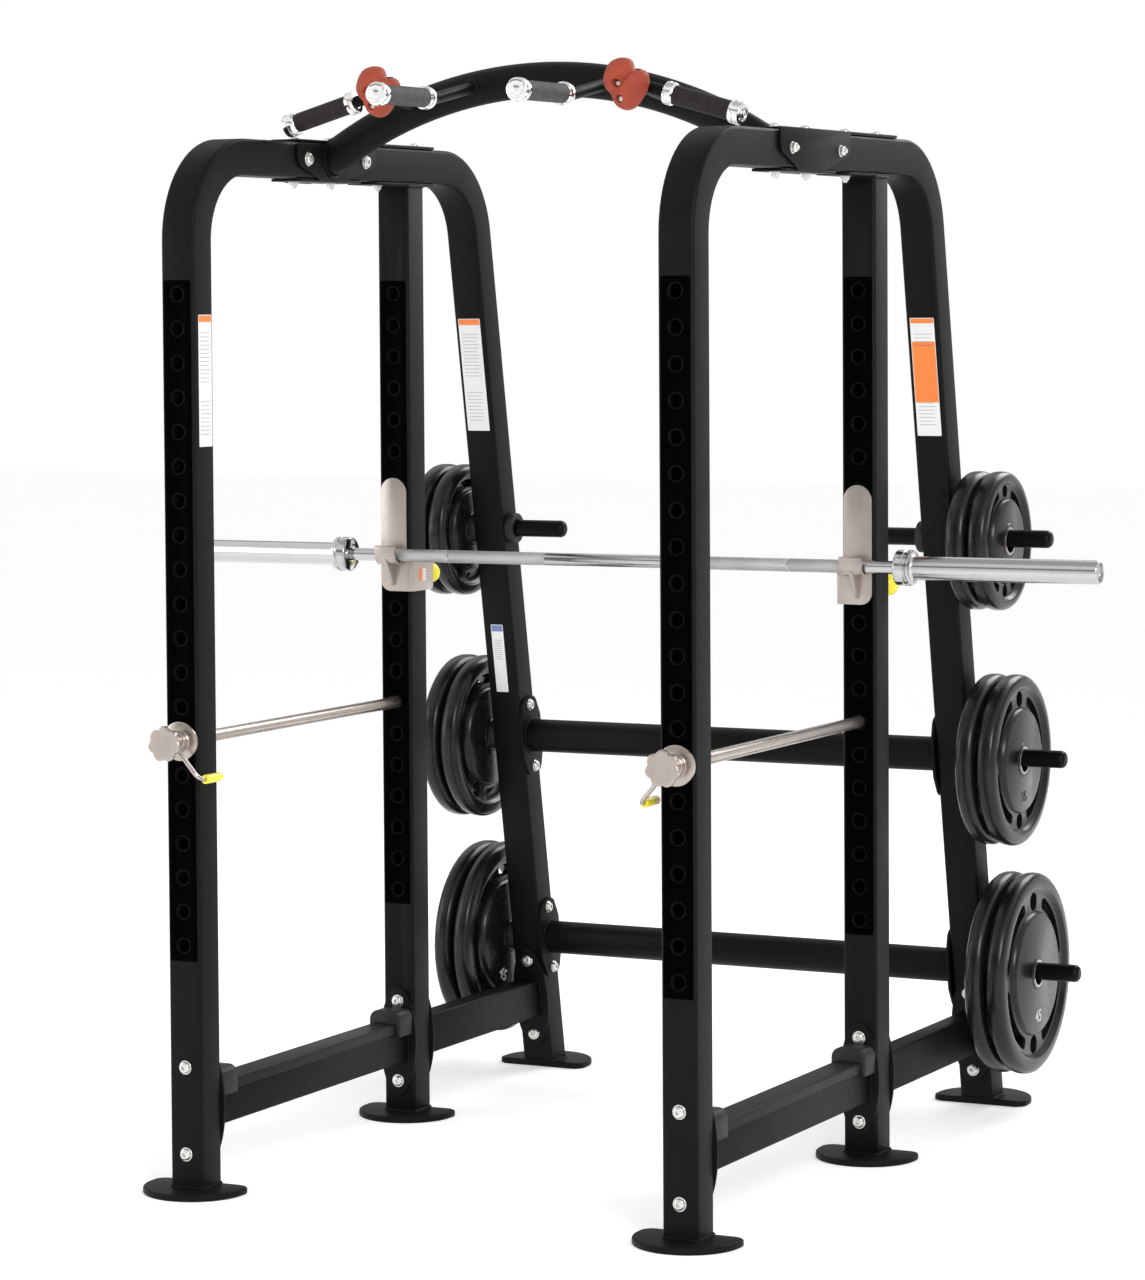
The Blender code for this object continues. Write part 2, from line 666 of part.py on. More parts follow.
def bar_hook(name, side, bar_depth, finish):
    """Folded plate that wraps the mid upright, with a cup for the bar in front and a pin barrel behind."""
    x = side * HALF_WIDTH
    back = MID_DEPTH - STRIP_THICKNESS - 2 * GAP
    front = back - HOOK_PLATE
    half = HOOK_WIDTH / 2
    outline = [(-half, HOOK_BOTTOM), (half, HOOK_BOTTOM)]
    for i in range(9):
        angle = math.pi * i / 8
        outline.append((half * math.cos(angle), HOOK_TOP - half + half * math.sin(angle)))
    tall = loft([[at(x + a, depth, z) for a, z in outline] for depth in (front, back)])
    hook = add(name, tall, finish)

    cup_floor = BAR_HEIGHT - SHAFT_RADIUS - GAP
    lip_back = bar_depth + SHAFT_RADIUS - CUP_DEPTH
    lip_front = lip_back - 0.006
    cup_half = CUP_WIDTH / 2
    heights = (HOOK_BOTTOM + 0.001, HOOK_SIDE_TOP)
    inner, outer = HALF_WIDTH - cup_half, HALF_WIDTH + cup_half
    gusset = [(lip_front + 0.004, cup_floor - 0.005), (front + 0.002, cup_floor - 0.005),
              (front + 0.002, HOOK_BOTTOM + 0.012)]
    web = loft([[at(x + a, y, z) for y, z in gusset] for a in (-0.004, 0.004)])
    tab_front = HOOK_BACK - HOOK_TAB
    pin = at(x, 0, hole_height(PIN_HOLE))
    barrel = [(tab_front + 0.002, PIN_BARREL), (PIN_BARREL_BACK, PIN_BARREL)]
    bore = [(tab_front - 0.01, PIN_RADIUS + 0.0008), (PIN_BARREL_BACK + 0.01, PIN_RADIUS + 0.0008)]
    parts = {
        "web": web,
        "floor": side_box(
            side, inner, outer, (lip_front + 0.001, front + 0.002), (cup_floor - 0.006, cup_floor),
        ),
        "lip": side_box(side, inner, outer, (lip_front, lip_back), (cup_floor - 0.007, CUP_LIP_TOP)),
        "fold": side_box(side, HOOK_SIDE_X, HALF_WIDTH, (front + 0.0005, back - 0.0005), heights),
        "cheek": side_box(
            side, HOOK_SIDE_X - 0.0002, HOOK_SIDE_X + HOOK_PLATE, (front, HOOK_BACK),
            (HOOK_BOTTOM, HOOK_SIDE_TOP - 0.001),
        ),
        "tab": side_box(
            side, HOOK_SIDE_X + 0.001, HALF_WIDTH + 0.028, (tab_front, HOOK_BACK - 0.0005),
            (HOOK_BOTTOM + 0.002, HOOK_SIDE_TOP - 0.014),
        ),
        "barrel": turned(pin, "Y", barrel, 12),
    }
    combine(hook, "UNION", [helper(f"{name}_{part}", shape) for part, shape in parts.items()])
    combine(hook, "DIFFERENCE", [helper(name + "_bore", turned(pin, "Y", bore, 12))])


def pull_pin(side_name, side, steel, yellow):
    """Spring pin through the hook's tab into the upright's rear wall, with a ball knob."""
    axis = at(side * HALF_WIDTH, 0, hole_height(PIN_HOLE))
    origin = at(side * HALF_WIDTH, PIN_BACK, hole_height(PIN_HOLE))
    profile = [
        (PIN_FRONT, PIN_RADIUS - 0.002), (PIN_FRONT + 0.003, PIN_RADIUS), (PIN_BACK, PIN_RADIUS),
    ]
    add("hook_pin_" + side_name, turned(axis, "Y", profile, 12), steel, origin=origin)
    profile = []
    first = math.acos((KNOB_DEPTH - PIN_BACK - GAP) / KNOB_RADIUS)
    for i in range(8):
        angle = first + (math.pi - 0.25 - first) * i / 7
        profile.append((KNOB_DEPTH - KNOB_RADIUS * math.cos(angle), KNOB_RADIUS * math.sin(angle)))
    add("hook_knob_" + side_name, turned(axis, "Y", profile, 12), yellow, origin=origin)


def safety_rod(side_name, side, steel, yellow):
    """Long rod across the bay with a star knob, and a locking lever that turns on its hub."""
    axis = at(side * HALF_WIDTH, 0, hole_height(ROD_HOLE))
    disc_back = -STRIP_THICKNESS - 2 * GAP
    sides = 3 * STAR_LOBES
    profile = [
        (-STAR_FRONT, None), (-STAR_FRONT + STAR_THICKNESS, None),
        (-STAR_FRONT + STAR_THICKNESS, 0.018), (-LEVER_SEAT[0] - GAP, 0.018),
        (-LEVER_SEAT[0] - GAP, ROD_RADIUS), (-LEVER_SEAT[1] + GAP, ROD_RADIUS),
        (-LEVER_SEAT[1] + GAP, ROD_BOSS_RADIUS), (disc_back - ROD_DISC_THICKNESS, ROD_BOSS_RADIUS),
        (disc_back - ROD_DISC_THICKNESS, ROD_DISC_RADIUS), (disc_back, ROD_DISC_RADIUS),
        (disc_back, ROD_RADIUS), (ROD_BACK - 0.004, ROD_RADIUS), (ROD_BACK, ROD_RADIUS - 0.004),
    ]
    rings = []
    for position, radius in profile:
        ring = []
        for k in range(sides):
            angle = math.tau * k / sides + math.pi / 2
            reach = radius or STAR_RADIUS + STAR_LOBE * math.cos(STAR_LOBES * (angle - math.pi / 2))
            ring.append(axis + Vector((reach * math.cos(angle), position, reach * math.sin(angle))))
        rings.append(ring)
    add("safety_rod_" + side_name, loft(rings), steel, origin=axis)

    inward = Vector((-side * math.cos(LEVER_ANGLE), 0, -math.sin(LEVER_ANGLE)))
    plane = -sum(LEVER_SEAT) / 2

    def point(reach, depth):
        return axis + inward * reach + Vector((0, depth, 0))

    bend = 0.016
    path = [point(0.0165, plane)]
    for i in range(4):
        angle = math.radians(30 * i)
        reach = LEVER_REACH - bend * (1 - math.sin(angle))
        path.append(point(reach, plane + bend * (1 - math.cos(angle))))
    path.append(point(LEVER_REACH, LEVER_BACK - 0.004))
    bore = ROD_RADIUS + 0.0005
    collar = [
        (-LEVER_SEAT[0], bore), (-LEVER_SEAT[0], 0.0205), (-LEVER_SEAT[1], 0.0205), (-LEVER_SEAT[1], bore),
    ]
    lever = add("safety_lever_" + side_name, turned(axis, "Y", collar, 16, loop=True), steel, origin=axis)
    combine(lever, "UNION", [helper("lever_stem_" + side_name, rod(path, LEVER_RADIUS))])
    end = point(LEVER_REACH, 0)
    sleeve = [
        (LEVER_BACK - 0.0035, LEVER_RADIUS + 0.0004), (LEVER_GRIP_FRONT, LEVER_RADIUS + 0.0004),
        (LEVER_GRIP_FRONT, LEVER_GRIP_RADIUS), (LEVER_BACK - 0.002, LEVER_GRIP_RADIUS),
        (LEVER_BACK + 0.002, LEVER_GRIP_RADIUS - 0.004),
    ]
    add("lever_grip_" + side_name, turned(end, "Y", sleeve, 12), yellow, origin=axis)


def clear_scene():
    for old in list(bpy.data.objects):
        bpy.data.objects.remove(old)


def main():
    clear_scene()
    black = material("frame_black", (0.028, 0.028, 0.028), 0.42)
    strip = material("strip_black", (0.006, 0.006, 0.006), 0.5)
    rubber = material("rubber_grey", (0.06, 0.055, 0.055), 0.7)
    plate_black = material("plate_black", (0.045, 0.043, 0.044), 0.32)
    nickel = material("satin_nickel", (0.62, 0.56, 0.5), 0.38, 0.9)
    chrome = material("bar_chrome", (0.72, 0.72, 0.72), 0.2, 1.0)
    yellow = material("knob_yellow", (0.9, 0.78, 0.05), 0.35)
    red = material("hold_red", (0.55, 0.09, 0.05), 0.6)

    for side_name, side in SIDES.items():
        side_frame("side_frame_" + side_name, side, black)
        mid_upright("mid_upright_" + side_name, side, black)
        wear_strip("front_strip_" + side_name, side, 0.0, strip)
        wear_strip("mid_strip_" + side_name, side, MID_DEPTH, strip)
        base_beam("front_beam_" + side_name, side, lambda z: TUBE, lambda z: MID_DEPTH, black)
        base_beam("rear_beam_" + side_name, side, lambda z: MID_DEPTH + TUBE, leg_front, black)
        beam_pad("beam_pad_" + side_name, side, rubber)
        arch_clamp("arch_clamp_" + side_name, side, black)
        climbing_hold("climbing_hold_" + side_name, side, red)
        peg("peg_inner_" + side_name, side, PEG_HEIGHTS["top"], True, black)
        for level, height in PEG_HEIGHTS.items():
            peg(f"peg_{level}_{side_name}", side, height, False, black)
            for place, place_name in enumerate(("inner", "outer")):
                plate(f"plate_{level}_{place_name}_{side_name}", side, level, place, plate_black)
        neutral = [at(side * NEUTRAL_X, depth, NEUTRAL_HEIGHT) for depth in (NEUTRAL_BACK, NEUTRAL_FRONT)]
        grip("neutral_grip_" + side_name, neutral[0], neutral[1], rubber)
        wide = [at(side * end[0], WIDE_DEPTH, end[1]) for end in (WIDE_INNER, WIDE_OUTER)]
        grip("wide_grip_" + side_name, wide[0], wide[1], rubber)
        pull_pin(side_name, side, nickel, yellow)
        safety_rod(side_name, side, nickel, yellow)
    crossmember("crossmember_upper", PEG_HEIGHTS["middle"], black)
    crossmember("crossmember_lower", PEG_HEIGHTS["bottom"], black)
    pull_up_arch(black)
    bar_depth = barbell(chrome)
    for side_name, side in SIDES.items():
        bar_hook("bar_hook_" + side_name, side, bar_depth, nickel)


main()
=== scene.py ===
import math

import bmesh
import bpy
from mathutils import Matrix, Vector


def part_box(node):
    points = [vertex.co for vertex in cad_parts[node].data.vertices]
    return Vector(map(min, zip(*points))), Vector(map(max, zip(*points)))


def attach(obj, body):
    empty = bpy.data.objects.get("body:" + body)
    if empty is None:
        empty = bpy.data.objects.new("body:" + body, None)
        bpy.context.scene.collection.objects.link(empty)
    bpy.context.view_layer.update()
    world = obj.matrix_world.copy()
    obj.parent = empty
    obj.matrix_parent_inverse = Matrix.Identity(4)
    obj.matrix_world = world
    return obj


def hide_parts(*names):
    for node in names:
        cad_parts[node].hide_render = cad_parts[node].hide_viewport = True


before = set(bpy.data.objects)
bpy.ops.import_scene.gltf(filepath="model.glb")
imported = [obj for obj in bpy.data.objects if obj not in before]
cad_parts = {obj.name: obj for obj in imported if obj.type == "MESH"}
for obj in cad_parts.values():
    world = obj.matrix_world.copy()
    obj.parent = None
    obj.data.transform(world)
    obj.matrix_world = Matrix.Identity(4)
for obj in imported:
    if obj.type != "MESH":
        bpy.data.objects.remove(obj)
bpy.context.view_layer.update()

SIDES = {"left": -1, "right": 1}
X_AXIS, Y_AXIS, Z_AXIS = Vector((1, 0, 0)), Vector((0, 1, 0)), Vector((0, 0, 1))
# Lengths are in metres. A depth is measured back from the front face of the front uprights.
GAP = 0.0003  # between two pieces that touch
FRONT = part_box("front_strip_left")[1].y + GAP
HALF_WIDTH = sum(corner.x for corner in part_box("front_strip_right")) / 2
TUBE = 0.0762
WALL = 0.003
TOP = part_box("side_frame_left")[1].z
MID_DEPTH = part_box("mid_strip_left")[1].y + GAP - FRONT
BAR = sum(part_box("barbell_shaft"), Vector()) / 2
BAR_RADIUS, KNURL_PITCH = 0.0140, 0.0022
BEND = 0.175  # radius of the frame's bends, along the middle of the tube
LEG_SLOPE = 0.181
LEG_ANGLE = math.atan(LEG_SLOPE)
LEG_HALF = TUBE / 2 / math.cos(LEG_ANGLE)  # half of a leg's level section, front to back
LEG_DEPTH, LEG_HEIGHT = 1.347, 1.475  # a point on the middle line of a leg
FOOT_HALF, FOOT_REACH, FOOT_HEEL = 0.110, 0.109, 0.036
FOOT_TOP = 0.011  # where the tubes start, inside the foot plates
PLATE = 0.006  # thickness of straps, flanges and end plates
TOP_HOLE, HOLE_PITCH, HOLE_RADIUS = 1.840, 0.06985, 0.0135
HOLES = [TOP_HOLE - HOLE_PITCH * k for k in range(20)]
HOOK_HOLE, ROD_HOLE = 9, 13  # the holes that hold the hook pins and the safety rods
LEVELS = {"top": 1.296, "middle": 0.805, "bottom": 0.317}
PLATE_RADII = {"top": 0.1525, "middle": 0.190, "bottom": 0.225}
WEIGHTS = {"top": "25", "middle": "35", "bottom": "45"}


def leg_depth(height):
    """Depth of a leg's middle line at a height."""
    return LEG_DEPTH + LEG_SLOPE * (LEG_HEIGHT - height)


def P(x, depth, z):
    """World point from x, a depth and a height."""
    return Vector((x, FRONT + depth, z))


# ---------------------------------------------------------------- materials

def surface(name, colour, rough, metallic=0.0, specular=0.5, mottle=0.12, mottle_scale=14,
            rough_var=0.08, grain=700, bump=0.00008, stretch=(1, 1, 1), coat=0.0, dust=0.0):
    """A finish with colour drift, roughness drift and a fine relief, all from object coordinates."""
    made = bpy.data.materials.new(name)
    made.use_nodes = True
    nodes, links = made.node_tree.nodes, made.node_tree.links
    shader = nodes["Principled BSDF"]
    shader.inputs["Metallic"].default_value = metallic
    shader.inputs["Specular IOR Level"].default_value = specular
    shader.inputs["Coat Weight"].default_value = coat
    shader.inputs["Coat Roughness"].default_value = 0.12
    place = nodes.new("ShaderNodeTexCoord")
    mapping = nodes.new("ShaderNodeMapping")
    mapping.inputs["Scale"].default_value = stretch
    links.new(place.outputs["Object"], mapping.inputs["Vector"])

    def noise(scale, detail, source):
        made_noise = nodes.new("ShaderNodeTexNoise")
        made_noise.inputs["Scale"].default_value = scale
        made_noise.inputs["Detail"].default_value = detail
        links.new(source, made_noise.inputs["Vector"])
        return made_noise.outputs["Fac"]

    drift = noise(mottle_scale, 5, place.outputs["Object"])
    ramp = nodes.new("ShaderNodeValToRGB")
    ramp.color_ramp.elements[0].position = 0.3
    ramp.color_ramp.elements[1].position = 0.7
    for element, factor in zip(ramp.color_ramp.elements, (1 - mottle, 1 + mottle)):
        element.color = (*[min(1.0, c * factor + dust * (factor - 1 + mottle)) for c in colour], 1)
    links.new(drift, ramp.inputs["Fac"])
    links.new(ramp.outputs["Color"], shader.inputs["Base Color"])
    patches = noise(mottle_scale * 3.1, 4, mapping.outputs["Vector"])
    spread = nodes.new("ShaderNodeMapRange")
    spread.inputs["From Min"].default_value = 0.25
    spread.inputs["From Max"].default_value = 0.75
    spread.inputs["To Min"].default_value = max(0.02, rough - rough_var)
    spread.inputs["To Max"].default_value = rough + rough_var
    links.new(patches, spread.inputs["Value"])
    links.new(spread.outputs["Result"], shader.inputs["Roughness"])
    relief = nodes.new("ShaderNodeBump")
    relief.inputs["Strength"].default_value = 0.6
    relief.inputs["Distance"].default_value = bump
    links.new(noise(grain, 2, mapping.outputs["Vector"]), relief.inputs["Height"])
    links.new(relief.outputs["Normal"], shader.inputs["Normal"])
    return made


def knurled(name, colour, rough):
    """Chrome with a diamond knurl wound round a bar that lies along X."""
    made = surface(name, colour, rough, metallic=1.0, mottle=0.1, rough_var=0.05)
    nodes, links = made.node_tree.nodes, made.node_tree.links
    relief = next(node for node in nodes if node.type == "BUMP")
    place = next(node for node in nodes if node.type == "TEX_COORD")
    split = nodes.new("ShaderNodeSeparateXYZ")
    links.new(place.outputs["Object"], split.inputs["Vector"])

    def maths(operation, a, b):
        node = nodes.new("ShaderNodeMath")
        node.operation = operation
        for socket, value in zip(node.inputs, (a, b)):
            if isinstance(value, (int, float)):
                socket.default_value = value
            elif value is not None:
                links.new(value, socket)
        return node.outputs["Value"]

    y = maths("SUBTRACT", split.outputs["Y"], BAR.y)
    z = maths("SUBTRACT", split.outputs["Z"], BAR.z)
    around = maths("MULTIPLY", maths("ARCTAN2", z, y), BAR_RADIUS)
    waves = []
    for sign in (1, -1):
        line = maths("ADD", split.outputs["X"], maths("MULTIPLY", around, sign))
        waves.append(maths("SINE", maths("MULTIPLY", line, 2 * math.pi / KNURL_PITCH), None))
    links.new(maths("MULTIPLY", waves[0], waves[1]), relief.inputs["Height"])
    relief.inputs["Distance"].default_value = 0.0003
    return made


frame_black = surface("frame_black_powder", (0.0045, 0.0046, 0.0045), 0.48, specular=0.105, grain=620,
                      bump=0.00010, mottle=0.08, rough_var=0.03, dust=0.003)
strip_black = surface("strip_black_plastic", (0.0004, 0.0004, 0.0004), 0.6, specular=0.012, grain=300,
                      bump=0.00005, mottle=0.25)
bush_black = surface("bush_black_plastic", (0.0012, 0.0012, 0.0012), 0.45, specular=0.06, grain=300,
                     bump=0.00005)
pad_rubber = surface("pad_rubber", (0.0105, 0.0092, 0.0095), 0.5, specular=0.2, rough_var=0.04, grain=1500,
                     bump=0.0002, mottle=0.2, mottle_scale=22)
cap_rubber = surface("block_rubber", (0.016, 0.0152, 0.0158), 0.5, specular=0.25, grain=1300, bump=0.0002,
                     mottle=0.15, mottle_scale=30)
bumper_rubber = surface("bumper_rubber", (0.026, 0.0255, 0.026), 0.6, specular=0.2, grain=1600, bump=0.0002)
grip_grey = surface("grip_grey_rubber", (0.075, 0.075, 0.077), 0.62, specular=0.25, grain=1400, bump=0.0003,
                    mottle=0.2, mottle_scale=60)
grip_brown = surface("grip_dark_rubber", (0.022, 0.0175, 0.0175), 0.6, specular=0.2, grain=1400, bump=0.0003,
                     mottle=0.2, mottle_scale=60)
plate_rubber = surface("plate_rubber", (0.0070, 0.0064, 0.0066), 0.27, specular=0.30, grain=260, bump=0.00007,
                       mottle=0.2, mottle_scale=12, rough_var=0.06, coat=0.08)
number_paint = surface("number_paint", (0.55, 0.55, 0.55), 0.5, grain=900, bump=0.0001)
nickel = surface("satin_nickel", (0.44, 0.39, 0.355), 0.33, metallic=0.9, grain=260, bump=0.00006,
                 mottle=0.07, mottle_scale=18, rough_var=0.07, stretch=(1, 1, 0.12))
rod_nickel = surface("rod_nickel", (0.47, 0.415, 0.375), 0.28, metallic=0.92, grain=420, bump=0.00006,
                     mottle=0.08, mottle_scale=16, rough_var=0.06, stretch=(1, 0.1, 1))
chrome = surface("turned_chrome", (0.53, 0.53, 0.53), 0.15, metallic=1.0, grain=900, bump=0.00002,
                 mottle=0.04, rough_var=0.04, stretch=(1, 0.06, 0.06))
cap_chrome = surface("cap_chrome", (0.86, 0.85, 0.84), 0.13, metallic=1.0, grain=500, bump=0.00004,
                     mottle=0.04, rough_var=0.04)
bolt_zinc = surface("bolt_zinc", (0.72, 0.72, 0.70), 0.28, metallic=0.9, grain=800, bump=0.00006, mottle=0.1)
peg_black = surface("peg_black", (0.0012, 0.0012, 0.0012), 0.36, specular=0.12, grain=600, bump=0.0001)
knob_yellow = surface("knob_yellow", (0.93, 0.80, 0.025), 0.28, specular=0.5, grain=300, bump=0.00004,
                      mottle=0.05, coat=0.3)
hold_red = surface("hold_red", (0.36, 0.058, 0.030), 0.6, specular=0.3, grain=1100, bump=0.0004,
                   mottle=0.13, mottle_scale=26)
label_white = surface("label_white", (0.78, 0.78, 0.78), 0.4, grain=200, bump=0.00003, mottle=0.03)
label_orange = surface("label_orange", (0.86, 0.22, 0.035), 0.4, grain=200, bump=0.00003, mottle=0.05)
label_grey = surface("label_grey", (0.42, 0.43, 0.44), 0.45, grain=200, bump=0.00003, mottle=0.05)
label_blue = surface("label_blue", (0.16, 0.2, 0.42), 0.45, grain=200, bump=0.00003, mottle=0.05)
knurl_chrome = knurled("knurled_chrome", (0.46, 0.46, 0.455), 0.38)


# ---------------------------------------------------------------- mesh tools

AXIS_RADIUS = 1e-5  # stands for 0, so that a ring on the axis keeps its points until they are merged
SCREW_SIDES = 24


def linked(name, data):
    """A new object in the scene."""
    made = bpy.data.objects.new(name, data)
    bpy.context.scene.collection.objects.link(made)
    return made


def mesh_of(name, shape, merge=1e-6):
    """A closed mesh from a bmesh, with its faces outwards. The bmesh is freed."""
    bmesh.ops.remove_doubles(shape, verts=shape.verts, dist=merge)
    bmesh.ops.recalc_face_normals(shape, faces=shape.faces)
    mesh = bpy.data.meshes.new(name)
    shape.to_mesh(mesh)
    shape.free()
    return mesh


def settle(made):
    """Applies an object's modifiers."""
    graph = bpy.context.evaluated_depsgraph_get()
    mesh = bpy.data.meshes.new_from_object(made.evaluated_get(graph))
    made.modifiers.clear()
    made.data = mesh


def ease_edges(made, width, angle):
    """Bevels the edges that are sharper than an angle in degrees."""
    rounding = made.modifiers.new("edges", "BEVEL")
    rounding.width = width
    rounding.segments = 2
    rounding.limit_method = "ANGLE"
    rounding.angle_limit = math.radians(angle)
    settle(made)


def smooth_below(made, angle):
    """Shades smooth across the edges that are flatter than an angle in degrees."""
    made.data.shade_smooth()
    made.data.set_sharp_from_angle(angle=math.radians(angle))


def piece(name, shape, finish, body, stands=(), bevel=0.0, smooth=32):
    """Turns a bmesh into a shown piece that rides on a body."""
    made = linked(name, mesh_of(name, shape))
    for one in finish if isinstance(finish, (list, tuple)) else (finish,):
        made.data.materials.append(one)
    if bevel:
        ease_edges(made, bevel, 38)
    smooth_below(made, smooth)
    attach(made, body)
    if stands:
        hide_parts(*stands)


def carve(shape, cutter):
    """Cuts one bmesh from another and gives back the result as a bmesh."""
    pair = [linked(label, mesh_of(label, one))
            for label, one in (("carve_body", shape), ("carve_tool", cutter))]
    cut = pair[0].modifiers.new("cut", "BOOLEAN")
    cut.operation = "DIFFERENCE"
    cut.object = pair[1]
    settle(pair[0])
    result = bmesh.new()
    result.from_mesh(pair[0].data)
    for made in pair:
        bpy.data.objects.remove(made)
    return result


def loft(shape, rings, loop=False, finish=0):
    """Joins rings of points into a solid, capped at both ends or closed on itself as a loop."""
    verts = [[shape.verts.new(point) for point in ring] for ring in rings]
    pairs = list(zip(verts, verts[1:]))
    made = []
    if loop:
        pairs.append((verts[-1], verts[0]))
    else:
        made += [shape.faces.new(verts[0]), shape.faces.new(verts[-1])]
    for near, far in pairs:
        for i in range(len(near)):
            j = (i + 1) % len(near)
            made.append(shape.faces.new((near[i], near[j], far[j], far[i])))
    for face in made:
        face.material_index = finish


def thicken(shape, outline, shift, finish=0):
    """A flat plate from its outline's points and the vector through its thickness."""
    loft(shape, [outline, [point + shift for point in outline]], finish=finish)


def basis(normal):
    """Two directions square to a normal, and the normal itself."""
    n = normal.normalized()
    near = Z_AXIS if abs(n.z) < 0.9 else Y_AXIS
    u = near.cross(n).normalized()
    return u, n.cross(u), n


def turned(shape, centre, axis, profile, sides=32, loop=False):
    """Round shape about an axis, from (distance along it, radius) pairs."""
    u, v, n = basis(axis)
    rings = []
    for along, radius in profile:
        ring = []
        for k in range(sides):
            angle = math.tau * k / sides
            spoke = u * math.cos(angle) + v * math.sin(angle)
            ring.append(centre + n * along + spoke * max(radius, AXIS_RADIUS))
        rings.append(ring)
    loft(shape, rings, loop=loop)


def arc(centre, start, end, steps):
    """Points of an arc about a centre, from one radius vector to the other."""
    whole = start.angle(end)
    points = []
    for s in range(steps + 1):
        t = s / steps
        mix = (start * math.sin((1 - t) * whole) + end * math.sin(t * whole)) / math.sin(whole)
        points.append(centre + mix)
    return points


def rounded(points, radius, steps=5):
    """A polygon's outline with rounded corners. The radius is one number, or one for each corner."""
    outline = []
    count = len(points)
    for i, corner in enumerate(points):
        r = radius[i] if isinstance(radius, (list, tuple)) else radius
        here = Vector(corner)
        before = (Vector(points[i - 1]) - here).normalized()
        after = (Vector(points[(i + 1) % count]) - here).normalized()
        half = before.angle(after) / 2
        if r <= 0 or half > 1.55:
            outline.append(tuple(here))
            continue
        centre = here + (before + after).normalized() * (r / math.sin(half))
        start = here + before * (r / math.tan(half)) - centre
        end = here + after * (r / math.tan(half)) - centre
        outline += [tuple(point) for point in arc(centre, start, end, steps)]
    return outline


def rounded_box(low, high, radius, steps=5):
    """Rectangle between two corners, with rounded corners."""
    return rounded([low, (high[0], low[1]), high, (low[0], high[1])], radius, steps)


def rounded_box_outline(half_a, half_b, radius, steps=5):
    """Rectangle about the origin, with rounded corners."""
    return rounded_box((-half_a, -half_b), (half_a, half_b), radius, steps)


def slab(shape, outline, origin, u, v, thickness, finish=0):
    """A flat plate whose outline lies on the u and v directions. It grows along u cross v."""
    thicken(shape, [origin + u * a + v * b for a, b in outline], u.cross(v).normalized() * thickness, finish)


def block(shape, low, high):
    size = high - low
    slab(shape, [(0, 0), (size.x, 0), (size.x, size.y), (0, size.y)], low, X_AXIS, Y_AXIS, size.z)


def fillet_path(points, radius, steps=8):
    """Points of a path with each inner corner turned into an arc."""
    path = [points[0]]
    for before, corner, after in zip(points, points[1:], points[2:]):
        a, b = (before - corner).normalized(), (after - corner).normalized()
        half = a.angle(b) / 2
        shorter = min((before - corner).length, (after - corner).length)
        reach = min(radius / math.tan(half), 0.48 * shorter)
        r = reach * math.tan(half)
        centre = corner + (a + b).normalized() * (r / math.sin(half))
        path += arc(centre, corner + a * reach - centre, corner + b * reach - centre, steps)
    path.append(points[-1])
    return path


def rod(shape, points, radius, sides=24):
    """Round bar along a path. Its section turns as little as it can."""
    headings = []
    for i in range(len(points)):
        a = points[max(0, i - 1)]
        b = points[min(len(points) - 1, i + 1)]
        headings.append((b - a).normalized())
    u = basis(headings[0])[0]
    angles = [math.tau * k / sides for k in range(sides)]
    rings = []
    for point, heading in zip(points, headings):
        u = (u - heading * u.dot(heading)).normalized()
        up = heading.cross(u)
        rings.append([point + (u * math.cos(t) + up * math.sin(t)) * radius for t in angles])
    loft(shape, rings)


def screw_ring(base, normal, along, radius, hexagon=False):
    """A round ring, or a hexagon with as many points, so that the two can be joined."""
    u, v, n = basis(normal)
    points = []
    for k in range(SCREW_SIDES):
        angle = math.tau * k / SCREW_SIDES
        reach = radius
        if hexagon:
            local = (angle % (math.pi / 3)) - math.pi / 6
            reach = radius * math.cos(math.pi / 6) / math.cos(local)
        points.append(base + n * along + (u * math.cos(angle) + v * math.sin(angle)) * reach)
    return points


def bolt(shape, place, normal, radius=0.0115, height=0.0066, washer=0.0):
    """Button-head screw with a hexagon socket, on an optional washer."""
    n = normal.normalized()
    base = place.copy()
    if washer:
        turned(shape, base, n, [(-0.0002, 0), (-0.0002, washer), (0.0012, washer), (0.0016, washer - 0.0004),
                                (0.0016, 0)], SCREW_SIDES)
        base += n * 0.0015
    rings = [(-0.0002, radius * 0.98), (height * 0.22, radius)]
    for s in range(1, 6):
        t = math.pi / 2 * s / 6
        rings.append((height * (0.22 + 0.78 * math.sin(t)), radius * (0.52 + 0.48 * math.cos(t))))
    rings += [(height, radius * 0.50), (height * 0.98, radius * 0.42, True),
              (height * 0.35, radius * 0.40, True)]
    loft(shape, [screw_ring(base, n, *ring) for ring in rings])


def nut(shape, place, normal, across=0.0095, height=0.0085):
    """Lock nut on a washer, with the end of its bolt."""
    n = normal.normalized()
    washer = 0.0014
    turned(shape, place, n, [(-0.0002, 0), (-0.0002, 0.0125), (washer, 0.0125), (washer, 0)], 20)
    rings = [(washer, across, True), (washer + height * 0.75, across, True),
             (washer + height * 0.8, across * 0.86), (washer + height, across * 0.72),
             (washer + height, across * 0.55)]
    loft(shape, [screw_ring(place, n, *ring) for ring in rings])
    turned(shape, place + n * height, n,
           [(0, 0), (0, 0.0048), (0.0045, 0.0048), (0.0055, 0.0040), (0.0055, 0)], 16)


def weld(shape, points, radius=0.0032, sides=8):
    """Bead round a joint: a closed, slightly rippled ring along the given points."""
    count = len(points)
    centre = sum(points, Vector()) / count
    rings = []
    for i, point in enumerate(points):
        heading = (points[(i + 1) % count] - points[i - 1]).normalized()
        out = (point - centre)
        out = (out - heading * out.dot(heading)).normalized()
        up = heading.cross(out)
        size = radius * (1 + 0.12 * math.sin(i * 2.1))
        angles = [math.tau * k / sides for k in range(sides)]
        rings.append([point + (out * math.cos(t) + up * math.sin(t)) * size for t in angles])
    loft(shape, rings, loop=True)


